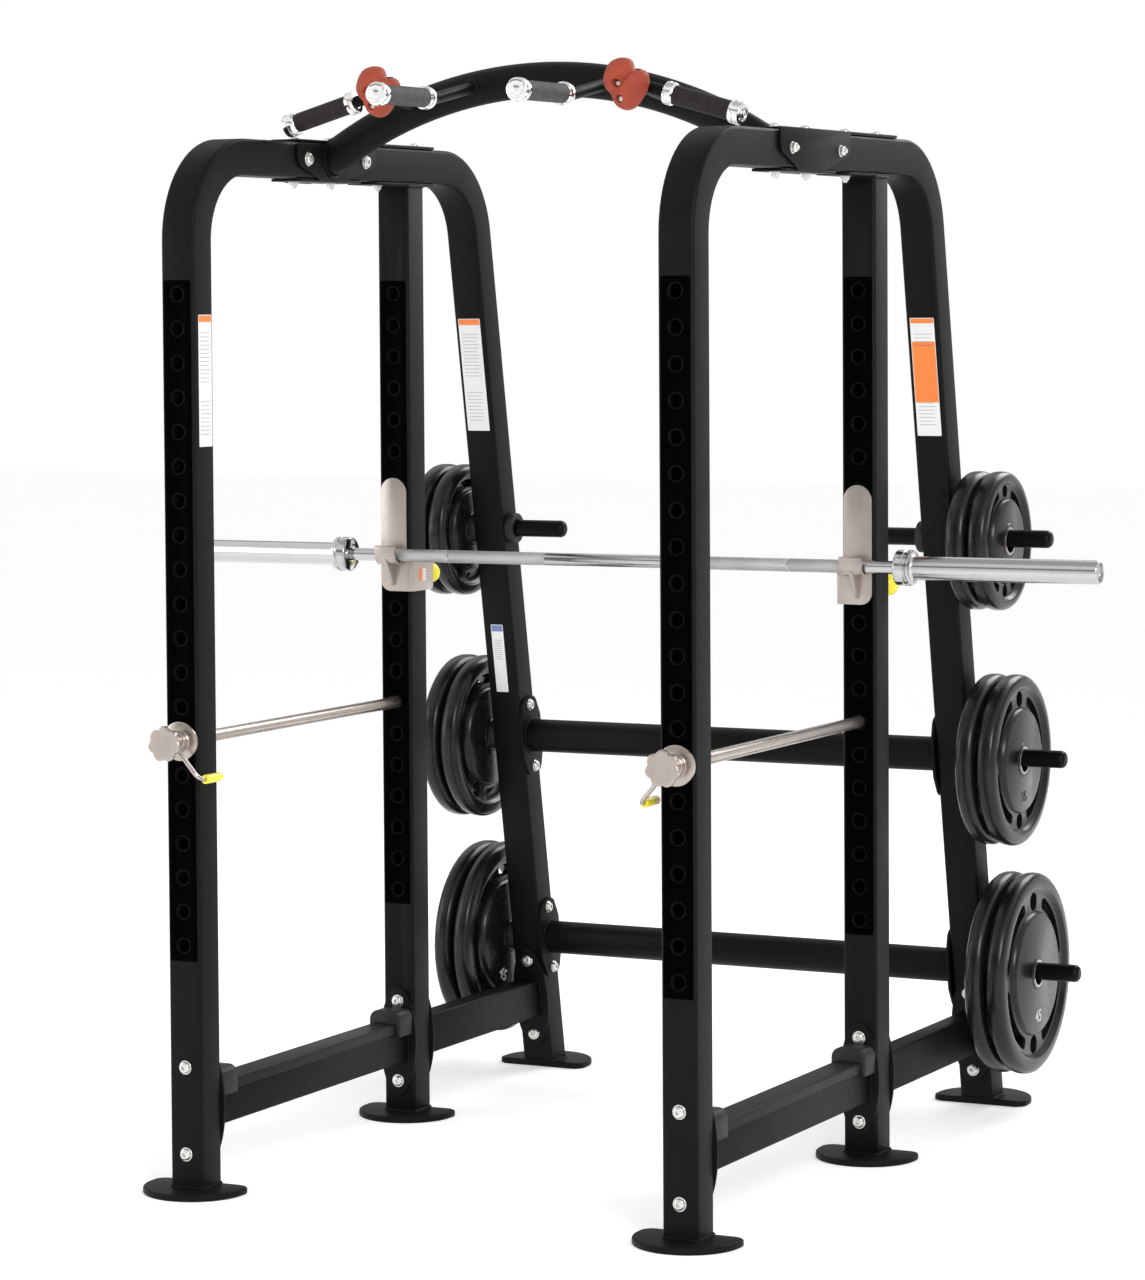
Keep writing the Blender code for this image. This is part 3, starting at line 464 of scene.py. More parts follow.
def dense(points, step):
    """The same closed outline with points no further apart than a step."""
    made = []
    for i, a in enumerate(points):
        b = points[(i + 1) % len(points)]
        parts = max(1, int((b - a).length / step))
        made += [a.lerp(b, k / parts) for k in range(parts)]
    return made


# ---------------------------------------------------------------- frame

BEAD_STEP = 0.006  # between the points of a weld bead
TUBE_OUT = rounded_box_outline(TUBE / 2, TUBE / 2, 0.0075, 5)
TUBE_IN = rounded_box_outline(TUBE / 2 - WALL, TUBE / 2 - WALL, 0.0045, 5)


def tube(shape, stations):
    """Hollow square tube through stations, each a centre and two directions across the tube."""
    rings = []
    for outline, places in ((TUBE_OUT, stations), (TUBE_IN, stations[::-1])):
        for centre, across, through in places:
            rings.append([centre + across * a + through * b for a, b in outline])
    loft(shape, rings, loop=True)


def foot(shape, x, depth, way, leaning=False):
    """Foot plate, a half oval with a straight heel and a rounded rim, and the weld bead round its tube."""
    outline = []
    heel = [(FOOT_HALF, 0.01), (FOOT_HALF, -FOOT_HEEL), (-FOOT_HALF, -FOOT_HEEL), (-FOOT_HALF, 0.01)]
    for a, b in rounded(heel, [0, 0.024, 0.024, 0], 6):
        if b < 0:
            outline.append((a, b))
    for i in range(33):
        angle = math.pi - math.pi * i / 32
        outline.append((FOOT_HALF * math.cos(angle), FOOT_REACH * math.sin(angle)))
    rings = []
    for z, inset in ((0.0, 0.003), (0.0008, 0.0012), (0.0025, 0.0), (0.0105, 0.0), (0.0126, 0.0009),
                     (0.0138, 0.0028), (0.0140, 0.005)):
        ring = []
        for a, b in outline:
            size = 1 - inset / 0.1
            ring.append(P(x + a * size, depth + way * (FOOT_HEEL + (b - FOOT_HEEL) * size), z))
        rings.append(ring)
    loft(shape, rings)
    stretch = 1 / math.cos(LEG_ANGLE) if leaning else 1
    bead = [P(x + a * 1.015, depth + b * stretch * 1.015 - (0.0025 if leaning else 0), 0.0145)
            for a, b in TUBE_OUT]
    weld(shape, dense(bead, 0.006))


def hole_column(x, front, back, radius=HOLE_RADIUS):
    """Cutter for an upright's holes."""
    shape = bmesh.new()
    for z in HOLES:
        turned(shape, P(x, front, z), Y_AXIS, [(0, radius), (back - front, radius)], 28)
    return shape


def side_frame(side_name, side):
    """Bent tube from the front foot over the top to the rear foot."""
    shape = bmesh.new()
    x = side * HALF_WIDTH
    rail = TOP - TUBE / 2
    steps = 18
    stations = [(P(x, TUBE / 2, FOOT_TOP), X_AXIS, Y_AXIS)]
    for i in range(steps + 1):
        angle = math.pi / 2 * i / steps
        inward = Vector((0, math.cos(angle), -math.sin(angle)))
        stations.append((P(x, TUBE / 2 + BEND, rail - BEND) - inward * BEND, X_AXIS, inward))
    turn = math.pi / 2 - LEG_ANGLE
    start = leg_depth(rail) - BEND * math.tan(turn / 2)
    for i in range(steps + 1):
        angle = turn * i / steps
        inward = Vector((0, -math.sin(angle), -math.cos(angle)))
        stations.append((P(x, start, rail - BEND) - inward * BEND, X_AXIS, inward))
    level = Vector((0, -1 / math.cos(LEG_ANGLE), 0))
    stations.append((P(x, leg_depth(FOOT_TOP), FOOT_TOP), X_AXIS, level))
    tube(shape, stations)
    shape = carve(shape, hole_column(x, -0.01, TUBE + 0.01))
    foot(shape, x, TUBE / 2, -1)
    foot(shape, x, leg_depth(0.0), 1, leaning=True)
    piece("frame_tube_" + side_name, shape, frame_black, "rack", ["side_frame_" + side_name])


def mid_upright(side_name, side):
    shape = bmesh.new()
    x = side * HALF_WIDTH
    middle = MID_DEPTH + TUBE / 2
    under = TOP - TUBE - GAP - PLATE
    tube(shape, [(P(x, middle, FOOT_TOP), X_AXIS, Y_AXIS), (P(x, middle, under), X_AXIS, Y_AXIS)])
    shape = carve(shape, hole_column(x, MID_DEPTH - 0.01, MID_DEPTH + TUBE + 0.01))
    flange = rounded_box((-0.0371, 0.755), (0.0371, 1.03), 0.012)
    slab(shape, flange, P(x, 0, under), X_AXIS, Y_AXIS, PLATE)
    foot(shape, x, middle, -1)
    bead = [P(x + a * 1.01, middle + b * 1.01, under - 0.0005) for a, b in TUBE_OUT]
    weld(shape, dense(bead, BEAD_STEP), 0.003)
    piece("mid_tube_" + side_name, shape, frame_black, "rack", ["mid_upright_" + side_name],
          bevel=0.0008)


def strip(name, node, x, depth):
    """Guard strip with a rounded edge and a bush in each hole."""
    low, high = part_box(node)
    middle = (low.z + high.z) / 2
    outline = [(a, b + middle) for a, b in rounded_box_outline(0.0315, (high.z - low.z) / 2, 0.004)]
    shape = bmesh.new()
    slab(shape, outline, P(x, depth - GAP, 0), X_AXIS, Z_AXIS, 0.0020)
    shape = carve(shape, hole_column(x, depth - 0.01, depth + 0.01, 0.0178))
    bushes = bmesh.new()
    for z in HOLES:
        turned(bushes, P(x, depth, z), -Y_AXIS, [
            (0.0003, 0.0136), (0.0003, 0.0176), (0.0014, 0.0176), (0.0021, 0.0170), (0.0021, 0.0152),
            (0.0012, 0.0140), (0.0006, 0.0136)], 28, loop=True)
    piece(name, shape, strip_black, "rack", [node], bevel=0.0005)
    piece(name.replace("strip", "bushes"), bushes, bush_black, "rack", smooth=40)


def beams(side_name, side):
    """The two base beams of a side, hollow, with oval end flanges."""
    x = side * HALF_WIDTH
    turns = [math.tau * i / 48 for i in range(48)]
    oval = [(0.045 * math.cos(t), 0.1725 + 0.1225 * math.sin(t)) for t in turns]
    section = rounded_box((-0.0254, 0.128), (0.0254, 0.216), 0.006, 4)
    bore = rounded_box((-0.0224, 0.131), (0.0224, 0.213), 0.003, 4)
    spans = {
        "front": (lambda z: TUBE, lambda z: MID_DEPTH),
        "rear": (lambda z: MID_DEPTH + TUBE, lambda z: leg_depth(z) - LEG_HALF),
    }
    for span, (start, end) in spans.items():
        shape = bmesh.new()

        def ring(outline, face, inset):
            return [P(x + a, face(z) + inset, z) for a, z in outline]

        for face, sign in ((start, 1), (end, -1)):
            loft(shape, [ring(oval, face, sign * GAP), ring(oval, face, sign * PLATE)])
            bead = [P(x + a * 1.04, face(z) + sign * 0.0065, 0.172 + (z - 0.172) * 1.02)
                    for a, z in section]
            weld(shape, dense(bead, BEAD_STEP), 0.003)
        loft(shape, [ring(section, start, 0.003), ring(section, end, -0.003), ring(bore, end, -0.003),
                     ring(bore, start, 0.003)], loop=True)
        piece(f"{span}_beam_tube_{side_name}", shape, frame_black, "rack",
              [f"{span}_beam_{side_name}"], bevel=0.0009)


def pad(side_name, side):
    """Rubber cover of a front beam: a thin saddle between two raised blocks."""
    x = side * HALF_WIDTH
    seat = 0.2163
    front, back = TUBE + PLATE + GAP, MID_DEPTH - PLATE - GAP
    shape = bmesh.new()

    def saddle(low, wide, high, corner):
        outer = rounded([(-wide, low), (-wide, high), (wide, high), (wide, low)],
                        [0.0012, corner, corner, 0.0012], 6)
        inner = [(0.0257, low), (0.0257, seat), (-0.0257, seat), (-0.0257, low)]
        return outer + inner

    body = saddle(0.198, 0.0304, seat + 0.005, 0.0045)
    loft(shape, [[P(x + a, d, z) for a, z in body] for d in (front + 0.045, back - 0.05)])
    for sign in (-1, 1):
        rod(shape, [P(x + sign * 0.0303, d, 0.1995) for d in (front + 0.05, back - 0.055)], 0.0009, 8)
    piece("pad_cover_" + side_name, shape, pad_rubber, "rack", ["beam_pad_" + side_name],
          bevel=0.0008)
    shape = bmesh.new()

    length = 0.060
    outline = saddle(0.192, 0.0385, seat + 0.033, 0.020)
    for start in (front, back - length):
        rings = []
        for t, shrink in ((0.0, 0.955), (0.02, 0.985), (0.07, 1.0), (0.93, 1.0), (0.98, 0.985), (1.0, 0.955)):
            outer = [(a * shrink, seat + (z - seat) * shrink) for a, z in outline[:-4]]
            rings.append([P(x + a, start + length * t, z) for a, z in outer + outline[-4:]])
        loft(shape, rings)
    piece("pad_blocks_" + side_name, shape, cap_rubber, "rack", smooth=50)


def crossmember(name, node, height):
    """Round tube with oval end flanges in line with the leaning legs."""
    lean = Matrix.Rotation(LEG_ANGLE, 3, "X")
    centre = P(0, leg_depth(height), height)
    reach = HALF_WIDTH - TUBE / 2 - GAP
    radius, flange_depth = 0.0381, 0.007
    shape = bmesh.new()

    def ring(x, size):
        angles = [math.tau * i / 40 for i in range(40)]
        return [centre + lean @ Vector((x, size * math.cos(t), size * math.sin(t))) for t in angles]

    end = reach - 0.002
    loft(shape, [ring(-end, radius), ring(end, radius), ring(end, radius - WALL), ring(-end, radius - WALL)],
         loop=True)
    half_flange = [(0.0, -0.0925), (0.030, -0.0905), (0.0495, -0.040), (0.0495, 0.040), (0.030, 0.0905)]
    outline = rounded(half_flange + [(-a, -b) for a, b in half_flange], 0.024)
    for sign in (-1, 1):
        near = [centre + lean @ Vector((sign * reach, a, b)) for a, b in outline]
        thicken(shape, near, Vector((-sign * flange_depth, 0, 0)))
        weld(shape, dense(ring(sign * (reach - 0.0075), 0.0392), BEAD_STEP), 0.0034)
    piece(name, shape, frame_black, "rack", [node], bevel=0.0009)
    screws = bmesh.new()
    for sign in (-1, 1):
        for z in (-0.074, 0.074):
            bolt(screws, centre + lean @ Vector((sign * (reach - flange_depth), 0, z)), -sign * X_AXIS,
                 0.0118, 0.0068, washer=0.0135)
            nut(screws, centre + lean @ Vector((sign * (HALF_WIDTH + TUBE / 2), 0, z)), sign * X_AXIS)
    piece(name + "_bolts", screws, bolt_zinc, "rack")


def frame_bolts(side_name, side):
    """The screws through the uprights and legs into the beams, and those of the top rail."""
    x = side * HALF_WIDTH
    screws = bmesh.new()
    for z in (0.083, 0.262):
        middle = leg_depth(z)
        spots = ((0, -Y_AXIS), (middle + LEG_HALF, Vector((0, 1, -LEG_SLOPE))),
                 (middle - LEG_HALF - PLATE, Vector((0, -1, LEG_SLOPE))), (MID_DEPTH - PLATE, -Y_AXIS))
        for depth, facing in spots:
            bolt(screws, P(x, depth, z), facing, 0.0122, 0.0072, washer=0.0145)
    for depth in (0.470, 0.625, 0.830, 1.000):
        bolt(screws, P(x, depth, TOP + PLATE + GAP), Z_AXIS, 0.0115, 0.0068, washer=0.0135)
        nut(screws, P(x, depth, TOP - TUBE - PLATE - 2 * GAP), -Z_AXIS)
    inner, outer = HALF_WIDTH - TUBE / 2 - PLATE - GAP, HALF_WIDTH + TUBE / 2 + PLATE + 2 * GAP
    for depth in (0.455, 0.700):
        bolt(screws, P(side * inner, depth, 2.124), -side * X_AXIS, 0.0128, 0.0076, washer=0.0150)
        nut(screws, P(side * outer, depth, 2.124), side * X_AXIS, 0.0105, 0.009)
    piece("frame_bolts_" + side_name, screws, bolt_zinc, "rack")


def clamp(side_name, side):
    """Straps above and below the top rail, and the plate on its outer face."""
    x = side * HALF_WIDTH
    shape = bmesh.new()
    for back, low in ((1.030, TOP + GAP), (0.700, TOP - TUBE - PLATE - GAP)):
        slab(shape, rounded_box((-0.0375, 0.432), (0.0375, back), 0.010), P(x, 0, low), X_AXIS, Y_AXIS, PLATE)
    v_plate = [(0.400, 2.1655), (0.400, 2.118), (0.505, 2.0765), (0.610, 2.0765), (0.755, 2.118),
               (0.755, 2.1655)]
    outline = rounded(v_plate, [0.008, 0.022, 0.030, 0.030, 0.022, 0.008])
    face = side * (HALF_WIDTH + TUBE / 2 + GAP)
    thicken(shape, [P(face, a, b) for a, b in outline], side * PLATE * X_AXIS)
    piece("rail_straps_" + side_name, shape, frame_black, "rack", ["arch_clamp_" + side_name],
          bevel=0.0009)


# ---------------------------------------------------------------- arch, grips and holds

ARCH_DEPTH = 0.560
ARCH_APEX = 2.2815
ARCH_SPRING = 2.1235
ARCH_REACH = HALF_WIDTH - TUBE / 2 - GAP
ARCH_SAG = ARCH_APEX - ARCH_SPRING
ARCH_BEND = (ARCH_REACH ** 2 + ARCH_SAG ** 2) / (2 * ARCH_SAG)
BAR_HEIGHT = 2.238  # of the neutral grips, and of the wide grips' inner ends
NEUTRAL_X = 0.1585
WIDE_DEPTH = 0.389
WIDE_INNER, WIDE_OUTER, WIDE_LOW = 0.356, 0.519, 2.1915
HOLD_X = 0.285
SUPPORT_RADIUS = 0.0125


def arch_height(x):
    """Height of the arch's middle line."""
    return ARCH_APEX - ARCH_BEND + math.sqrt(ARCH_BEND ** 2 - x * x)


def wide_height(x):
    """Height of the middle line of a wide grip, carried on past its ends."""
    return BAR_HEIGHT + (WIDE_LOW - BAR_HEIGHT) / (WIDE_OUTER - WIDE_INNER) * (x - WIDE_INNER)


def arch():
    """The arched tube, its end plates, and the bars and plates that hold the grips and holds."""
    shape = bmesh.new()
    half_angle = math.asin(ARCH_REACH / ARCH_BEND)
    steps = 56
    rings = []
    for radius, order in ((0.0365, 1), (0.0330, -1)):
        for i in range(steps + 1)[::order]:
            angle = half_angle * (2 * i / steps - 1)
            x = (ARCH_REACH - 0.003) / ARCH_REACH * ARCH_BEND * math.sin(angle)
            # The two end rings stand upright, so that they meet the end plates.
            outward = Vector((0, 0, 1)) if i in (0, steps) else Vector((math.sin(angle), 0, math.cos(angle)))
            ring = []
            for k in range(36):
                t = math.tau * k / 36
                ring.append(P(x, ARCH_DEPTH + radius * math.cos(t), arch_height(x))
                            + outward * radius * math.sin(t))
            rings.append(ring)
    loft(shape, rings, loop=True)
    v_plate = [(0.413, 2.158), (0.413, 2.112), (0.515, 2.0800), (0.610, 2.0800), (0.744, 2.112),
               (0.744, 2.158)]
    outline = rounded(v_plate, [0.010, 0.024, 0.030, 0.030, 0.024, 0.010])
    for sign in (-1, 1):
        thicken(shape, [P(sign * ARCH_REACH, a, b) for a, b in outline], -sign * PLATE * X_AXIS)
        ring = []
        for k in range(48):
            t = math.tau * k / 48
            ring.append(P(sign * (ARCH_REACH - 0.007), ARCH_DEPTH + 0.0378 * math.cos(t),
                          arch_height(ARCH_REACH - 0.007) + 0.041 * math.sin(t)))
        weld(shape, ring, 0.0034)
    for side in SIDES.values():
        x = side * NEUTRAL_X
        socket = ARCH_DEPTH - 0.030
        points = [P(x, 0.128, BAR_HEIGHT), P(x, 0.36, BAR_HEIGHT), P(x, socket, arch_height(x))]
        rod(shape, fillet_path(points, 0.20), SUPPORT_RADIUS)
        corner, tip = 0.300, 0.515
        arm = [P(side * corner, socket, arch_height(corner)),
               P(side * corner, WIDE_DEPTH, wide_height(corner)), P(side * tip, WIDE_DEPTH, wide_height(tip))]
        rod(shape, fillet_path(arm, 0.030), SUPPORT_RADIUS)
        for place in (points[-1], arm[0]):
            turned(shape, place - 0.008 * Y_AXIS, -Y_AXIS, [
                (-0.004, 0.0170), (0.0, 0.0170), (0.003, 0.0140), (0.0036, 0.010), (-0.004, 0.010)],
                24, loop=True)
        block(shape, P(side * HOLD_X - 0.026, WIDE_DEPTH - 0.019, 2.218),
              P(side * HOLD_X + 0.020, WIDE_DEPTH - 0.006, 2.286))
    piece("arch_tube", shape, frame_black, "rack", ["pull_up_arch"], bevel=0.0009)


def grip(name, node, start, end, finish):
    """Rubber sleeve between two chrome end caps. The outer cap carries four screws on its face."""
    run = (end - start).normalized()
    length = (end - start).length
    u, v, _ = basis(run)
    sleeve = bmesh.new()
    profile = [(0.020, 0.0150), (0.020, 0.0196)]
    ribs = 26
    for i in range(ribs):
        start_rib, end_rib = (0.022 + (length - 0.044) * (i + share) / ribs for share in (0, 0.72))
        profile += [(start_rib, 0.0196), (start_rib + 0.0004, 0.0200), (end_rib, 0.0200),
                    (end_rib + 0.0004, 0.0196)]
    profile += [(length - 0.020, 0.0196), (length - 0.020, 0.0150)]
    turned(sleeve, start, run, profile, 36)
    piece(name, sleeve, finish, "rack", [node])
    caps = bmesh.new()
    turned(caps, start, run, [
        (0.0, 0.0129), (0.0, 0.0215), (0.0012, 0.0232), (0.004, 0.0239), (0.0065, 0.0239), (0.0072, 0.0230),
        (0.0085, 0.0230), (0.0092, 0.0239), (0.0165, 0.0239), (0.0195, 0.0222), (0.0215, 0.0205),
        (0.0215, 0.0129)], 40, loop=True)
    turned(caps, start, run, [
        (length - 0.0215, 0.0129), (length - 0.0215, 0.0205), (length - 0.0195, 0.0222),
        (length - 0.0165, 0.0239), (length - 0.0092, 0.0239), (length - 0.0085, 0.0230),
        (length - 0.0072, 0.0230), (length - 0.0065, 0.0239), (length + 0.003, 0.0239),
        (length + 0.0056, 0.0226), (length + 0.0066, 0.0205), (length + 0.0066, 0.0150),
        (length + 0.0052, 0.0140), (length + 0.0052, 0.0)], 40)
    for k in range(4):
        angle = math.tau * (k + 0.5) / 4
        place = start + run * (length + 0.0066) + (u * math.cos(angle) + v * math.sin(angle)) * 0.0160
        turned(caps, place, run, [(-0.001, 0.0032), (0.0008, 0.0032), (0.0013, 0.0026), (0.0013, 0.0014),
                                  (0.0004, 0.0012), (0.0004, 0.0)], 12)
    turned(caps, start + run * (length + 0.0052), run, [(0, 0.0095), (0.0016, 0.0092), (0.0022, 0.0080),
                                                        (0.0022, 0.0)], 24)
    piece(name + "_caps", caps, cap_chrome, "rack", smooth=40)


def hold(side_name, side):
    """Moulded climbing hold: a tall lobe and a small side lobe with a valley between, and two sunk screws."""
    back = WIDE_DEPTH - 0.0193
    shape = bmesh.new()
    around, layers = 72, 22
    cx, cz = side * HOLD_X - 0.006, 2.254

    def bump(value, middle, width, height):
        return height * math.exp(-(((value - middle) / width) ** 2))

    def outline(angle):
        oval = 1.0 / math.sqrt((math.cos(angle) / 0.0500) ** 2 + (math.sin(angle) / 0.0520) ** 2)
        notch = bump(angle, 0.95, 0.26, 0.0155)
        lobe, crown = bump(angle, 0.30, 0.35, 0.0030), bump(angle, 2.05, 0.45, 0.0060)
        waist = bump(angle, 3.75, 0.55, 0.0150) + bump(angle, 5.6, 0.4, 0.0040)
        return oval - notch + lobe + crown - waist

    def bulge(a, b, t):
        """Forward reach of the front at a point. t runs from the rim, 0, to the middle, 1."""
        dome = 0.0400 * math.sqrt(max(0.0, 1 - (1 - t) ** 2.4))
        crease = a * 0.80 - (b - 0.012) * 0.60
        valley = bump(crease, 0.006, 0.0085, 0.016) * max(0.0, min(1.0, (b + 0.045) / 0.06))
        lobe = 0.006 * math.exp(-(((a + 0.014) / 0.022) ** 2 + ((b - 0.012) / 0.03) ** 2))
        ridge = 0.005 * math.exp(-(((a - 0.028) / 0.013) ** 2 + ((b - 0.004) / 0.024) ** 2))
        return dome - valley * t + lobe + ridge

    def rim(size):
        angles = [math.tau * k / around for k in range(around)]
        return [(size * outline(t) * math.cos(t), size * outline(t) * math.sin(t)) for t in angles]

    rings = [[P(cx + a, back, cz + b) for a, b in rim(0.92)]]
    for i in range(layers + 1):
        t = i / layers
        rings.append([P(cx + a, back - 0.004 - bulge(a, b, t), cz + b) for a, b in rim(max(1.0 - t, 1e-4))])
    loft(shape, rings)
    wells = bmesh.new()
    seats = []
    for a, b in ((-0.006, 0.002), (0.000, -0.029)):
        deep = back - 0.026
        seats.append(P(cx + a, deep, cz + b))
        turned(wells, P(cx + a, deep, cz + b), -Y_AXIS, [(0, 0.0078), (0.006, 0.0078), (0.05, 0.0110)], 28)
    shape = carve(shape, wells)
    piece("hold_" + side_name, shape, hold_red, "rack", ["climbing_hold_" + side_name], smooth=55)
    screws = bmesh.new()
    for seat in seats:
        bolt(screws, seat, -Y_AXIS, 0.0070, 0.0062)
    piece("hold_screws_" + side_name, screws, bolt_zinc, "rack")


# ---------------------------------------------------------------- storage

PLATE_HALF, PLATE_RIM = 0.0250, 0.0222  # half thickness of a weight plate, at the hub and the rim
BORE = 0.0256


def pegs(side_name, side):
    """A leg's storage pegs with rounded ends, and the rubber bumper at the root of each."""
    bumpers = bmesh.new()
    spots = [(level, z, 1, 0.811) for level, z in LEVELS.items()] + [("inner", LEVELS["top"], -1, 0.377)]
    for label, z, way, end in spots:
        root = HALF_WIDTH + way * (TUBE / 2 + GAP)
        axis = side * way * X_AXIS
        face = P(side * root, leg_depth(z), z)
        turned(bumpers, face, axis, [
            (0.0, 0.0197), (0.0, 0.0335), (0.0022, 0.0350), (0.0155, 0.0350), (0.0172, 0.0342),
            (0.0180, 0.0325), (0.0180, 0.0215), (0.0170, 0.0197)], 40, loop=True)
        length = abs(end - root)
        shape = bmesh.new()
        profile = [(0.001, 0.0), (0.001, 0.0195), (length - 0.012, 0.0195)]
        for s in range(1, 8):
            t = math.pi / 2 * s / 8
            profile.append((length - 0.012 + 0.012 * math.sin(t), 0.0075 + 0.012 * math.cos(t)))
        profile += [(length, 0.0070), (length, 0.0)]
        turned(shape, face, axis, profile, 36)
        piece(f"peg_bar_{label}_{side_name}", shape, peg_black, "rack",
              [f"peg_{label}_{side_name}"])
    piece("peg_bumpers_" + side_name, bumpers, bumper_rubber, "rack", smooth=45)


def arc_slot(shape, radius, start, end, half, low, high):
    """Curved slot cutter about the X axis, between two angles in degrees, with round ends."""
    outline = []
    steps = 14
    for first, last, grow in ((start, end, half), (end, start, -half)):
        for i in range(steps + 1):
            t = math.radians(first + (last - first) * i / steps)
            outline.append(((radius + grow) * math.cos(t), (radius + grow) * math.sin(t)))
        middle = math.radians(last)
        for i in range(1, 8):
            t = middle + math.pi * i / 8
            outline.append((radius * math.cos(middle) + grow * math.cos(t),
                            radius * math.sin(middle) + grow * math.sin(t)))
    loft(shape, [[Vector((x, a, b)) for a, b in outline] for x in (low, high)])


def numeral(text, size):
    """Mesh of thin raised digits, in the XY plane."""
    curve = bpy.data.curves.new("digits", "FONT")
    curve.body = text
    curve.size = size
    curve.align_x = "CENTER"
    curve.align_y = "CENTER"
    curve.extrude = 0.0006
    curve.offset = size * 0.012
    curve.resolution_u = 4
    holder = linked("digits", curve)
    graph = bpy.context.evaluated_depsgraph_get()
    mesh = bpy.data.meshes.new_from_object(holder.evaluated_get(graph))
    bpy.data.objects.remove(holder)
    return mesh


def plate_mesh(name, radius):
    """A plate about the X axis: rounded rim, sunk ring with two holes and four slots, and a flat hub."""
    hub, web, rim = PLATE_HALF - 0.0022, PLATE_HALF - 0.0135, PLATE_RIM
    face = [(PLATE_HALF - 0.0015, BORE), (PLATE_HALF, 0.0275), (PLATE_HALF, 0.0375), (hub, 0.0392)]
    face += [(along, share * radius) for along, share in (
        (hub, 0.585), (PLATE_HALF - 0.0042, 0.602), (PLATE_HALF - 0.0120, 0.618), (web, 0.635),
        (web, 0.800), (PLATE_HALF - 0.0120, 0.815), (rim - 0.0020, 0.838), (rim - 0.0003, 0.852),
        (rim, 0.872), (rim - 0.0008, 0.925), (rim - 0.0034, 0.962), (rim - 0.0085, 0.988),
        (rim - 0.0150, 0.9985))]
    shape = bmesh.new()
    turned(shape, Vector(), X_AXIS, face + [(0.0, radius)] + [(-p, r) for p, r in face[::-1]], 96, loop=True)
    cutter = bmesh.new()
    for mid in (90, 270):
        t = math.radians(mid)
        spot = Vector((-0.03, 0.715 * radius * math.cos(t), 0.715 * radius * math.sin(t)))
        turned(cutter, spot, X_AXIS, [(0, 0.092 * radius), (0.06, 0.092 * radius)], 36)
        for start in (24, 102):
            arc_slot(cutter, 0.717 * radius, mid + start, mid + start + 54, 0.060 * radius, -0.03, 0.03)
    return mesh_of(name, carve(shape, cutter), 1e-5)


def weight_plate(level, place, side_name, mesh, digits):
    """One plate on its peg, with a bushing ring and a number on each face."""
    radius = PLATE_RADII[level]
    which = f"{level}_{place}_{side_name}"
    node = "plate_" + which
    centre = sum(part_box(node), Vector()) / 2
    spin = Matrix.Rotation({"outer": 0.0, "inner": 0.5}[place] * SIDES[side_name], 4, "X")
    made = linked("disc_" + which, mesh.copy())
    made.data.materials.append(plate_rubber)
    made.data.transform(Matrix.Translation(centre) @ spin)
    ease_edges(made, 0.0016, 50)
    smooth_below(made, 40)
    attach(made, node)
    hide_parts(node)
    bushing = [(PLATE_HALF - 0.0012, BORE), (PLATE_HALF + 0.0003, 0.0260), (PLATE_HALF + 0.0003, 0.0305),
               (PLATE_HALF - 0.0012, 0.0310)]
    rings = bmesh.new()
    for facing in (1, -1):
        turned(rings, centre, facing * X_AXIS, bushing, 40, loop=True)
    piece("bushing_" + which, rings, rod_nickel, node)
    for facing, end in ((1, "a"), (-1, "b")):
        stamp = linked(f"number_{which}_{end}", digits.copy())
        stamp.data.materials.clear()
        stamp.data.materials.append(number_paint if level == "bottom" else plate_rubber)
        upright = Matrix(((0, 0, facing, 0), (facing, 0, 0, 0), (0, 1, 0, 0), (0, 0, 0, 1)))
        shift = Matrix.Translation(Vector((facing * (PLATE_HALF - 0.0020), 0, -0.43 * radius)))
        stamp.data.transform(Matrix.Translation(centre) @ spin @ shift @ upright)
        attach(stamp, node)


def weight_plates():
    for level, radius in PLATE_RADII.items():
        mesh = plate_mesh("plate_mesh_" + level, radius)
        digits = numeral(WEIGHTS[level], 0.17 * radius)
        for place in ("inner", "outer"):
            for side_name in SIDES:
                weight_plate(level, place, side_name, mesh, digits)


# ---------------------------------------------------------------- barbell

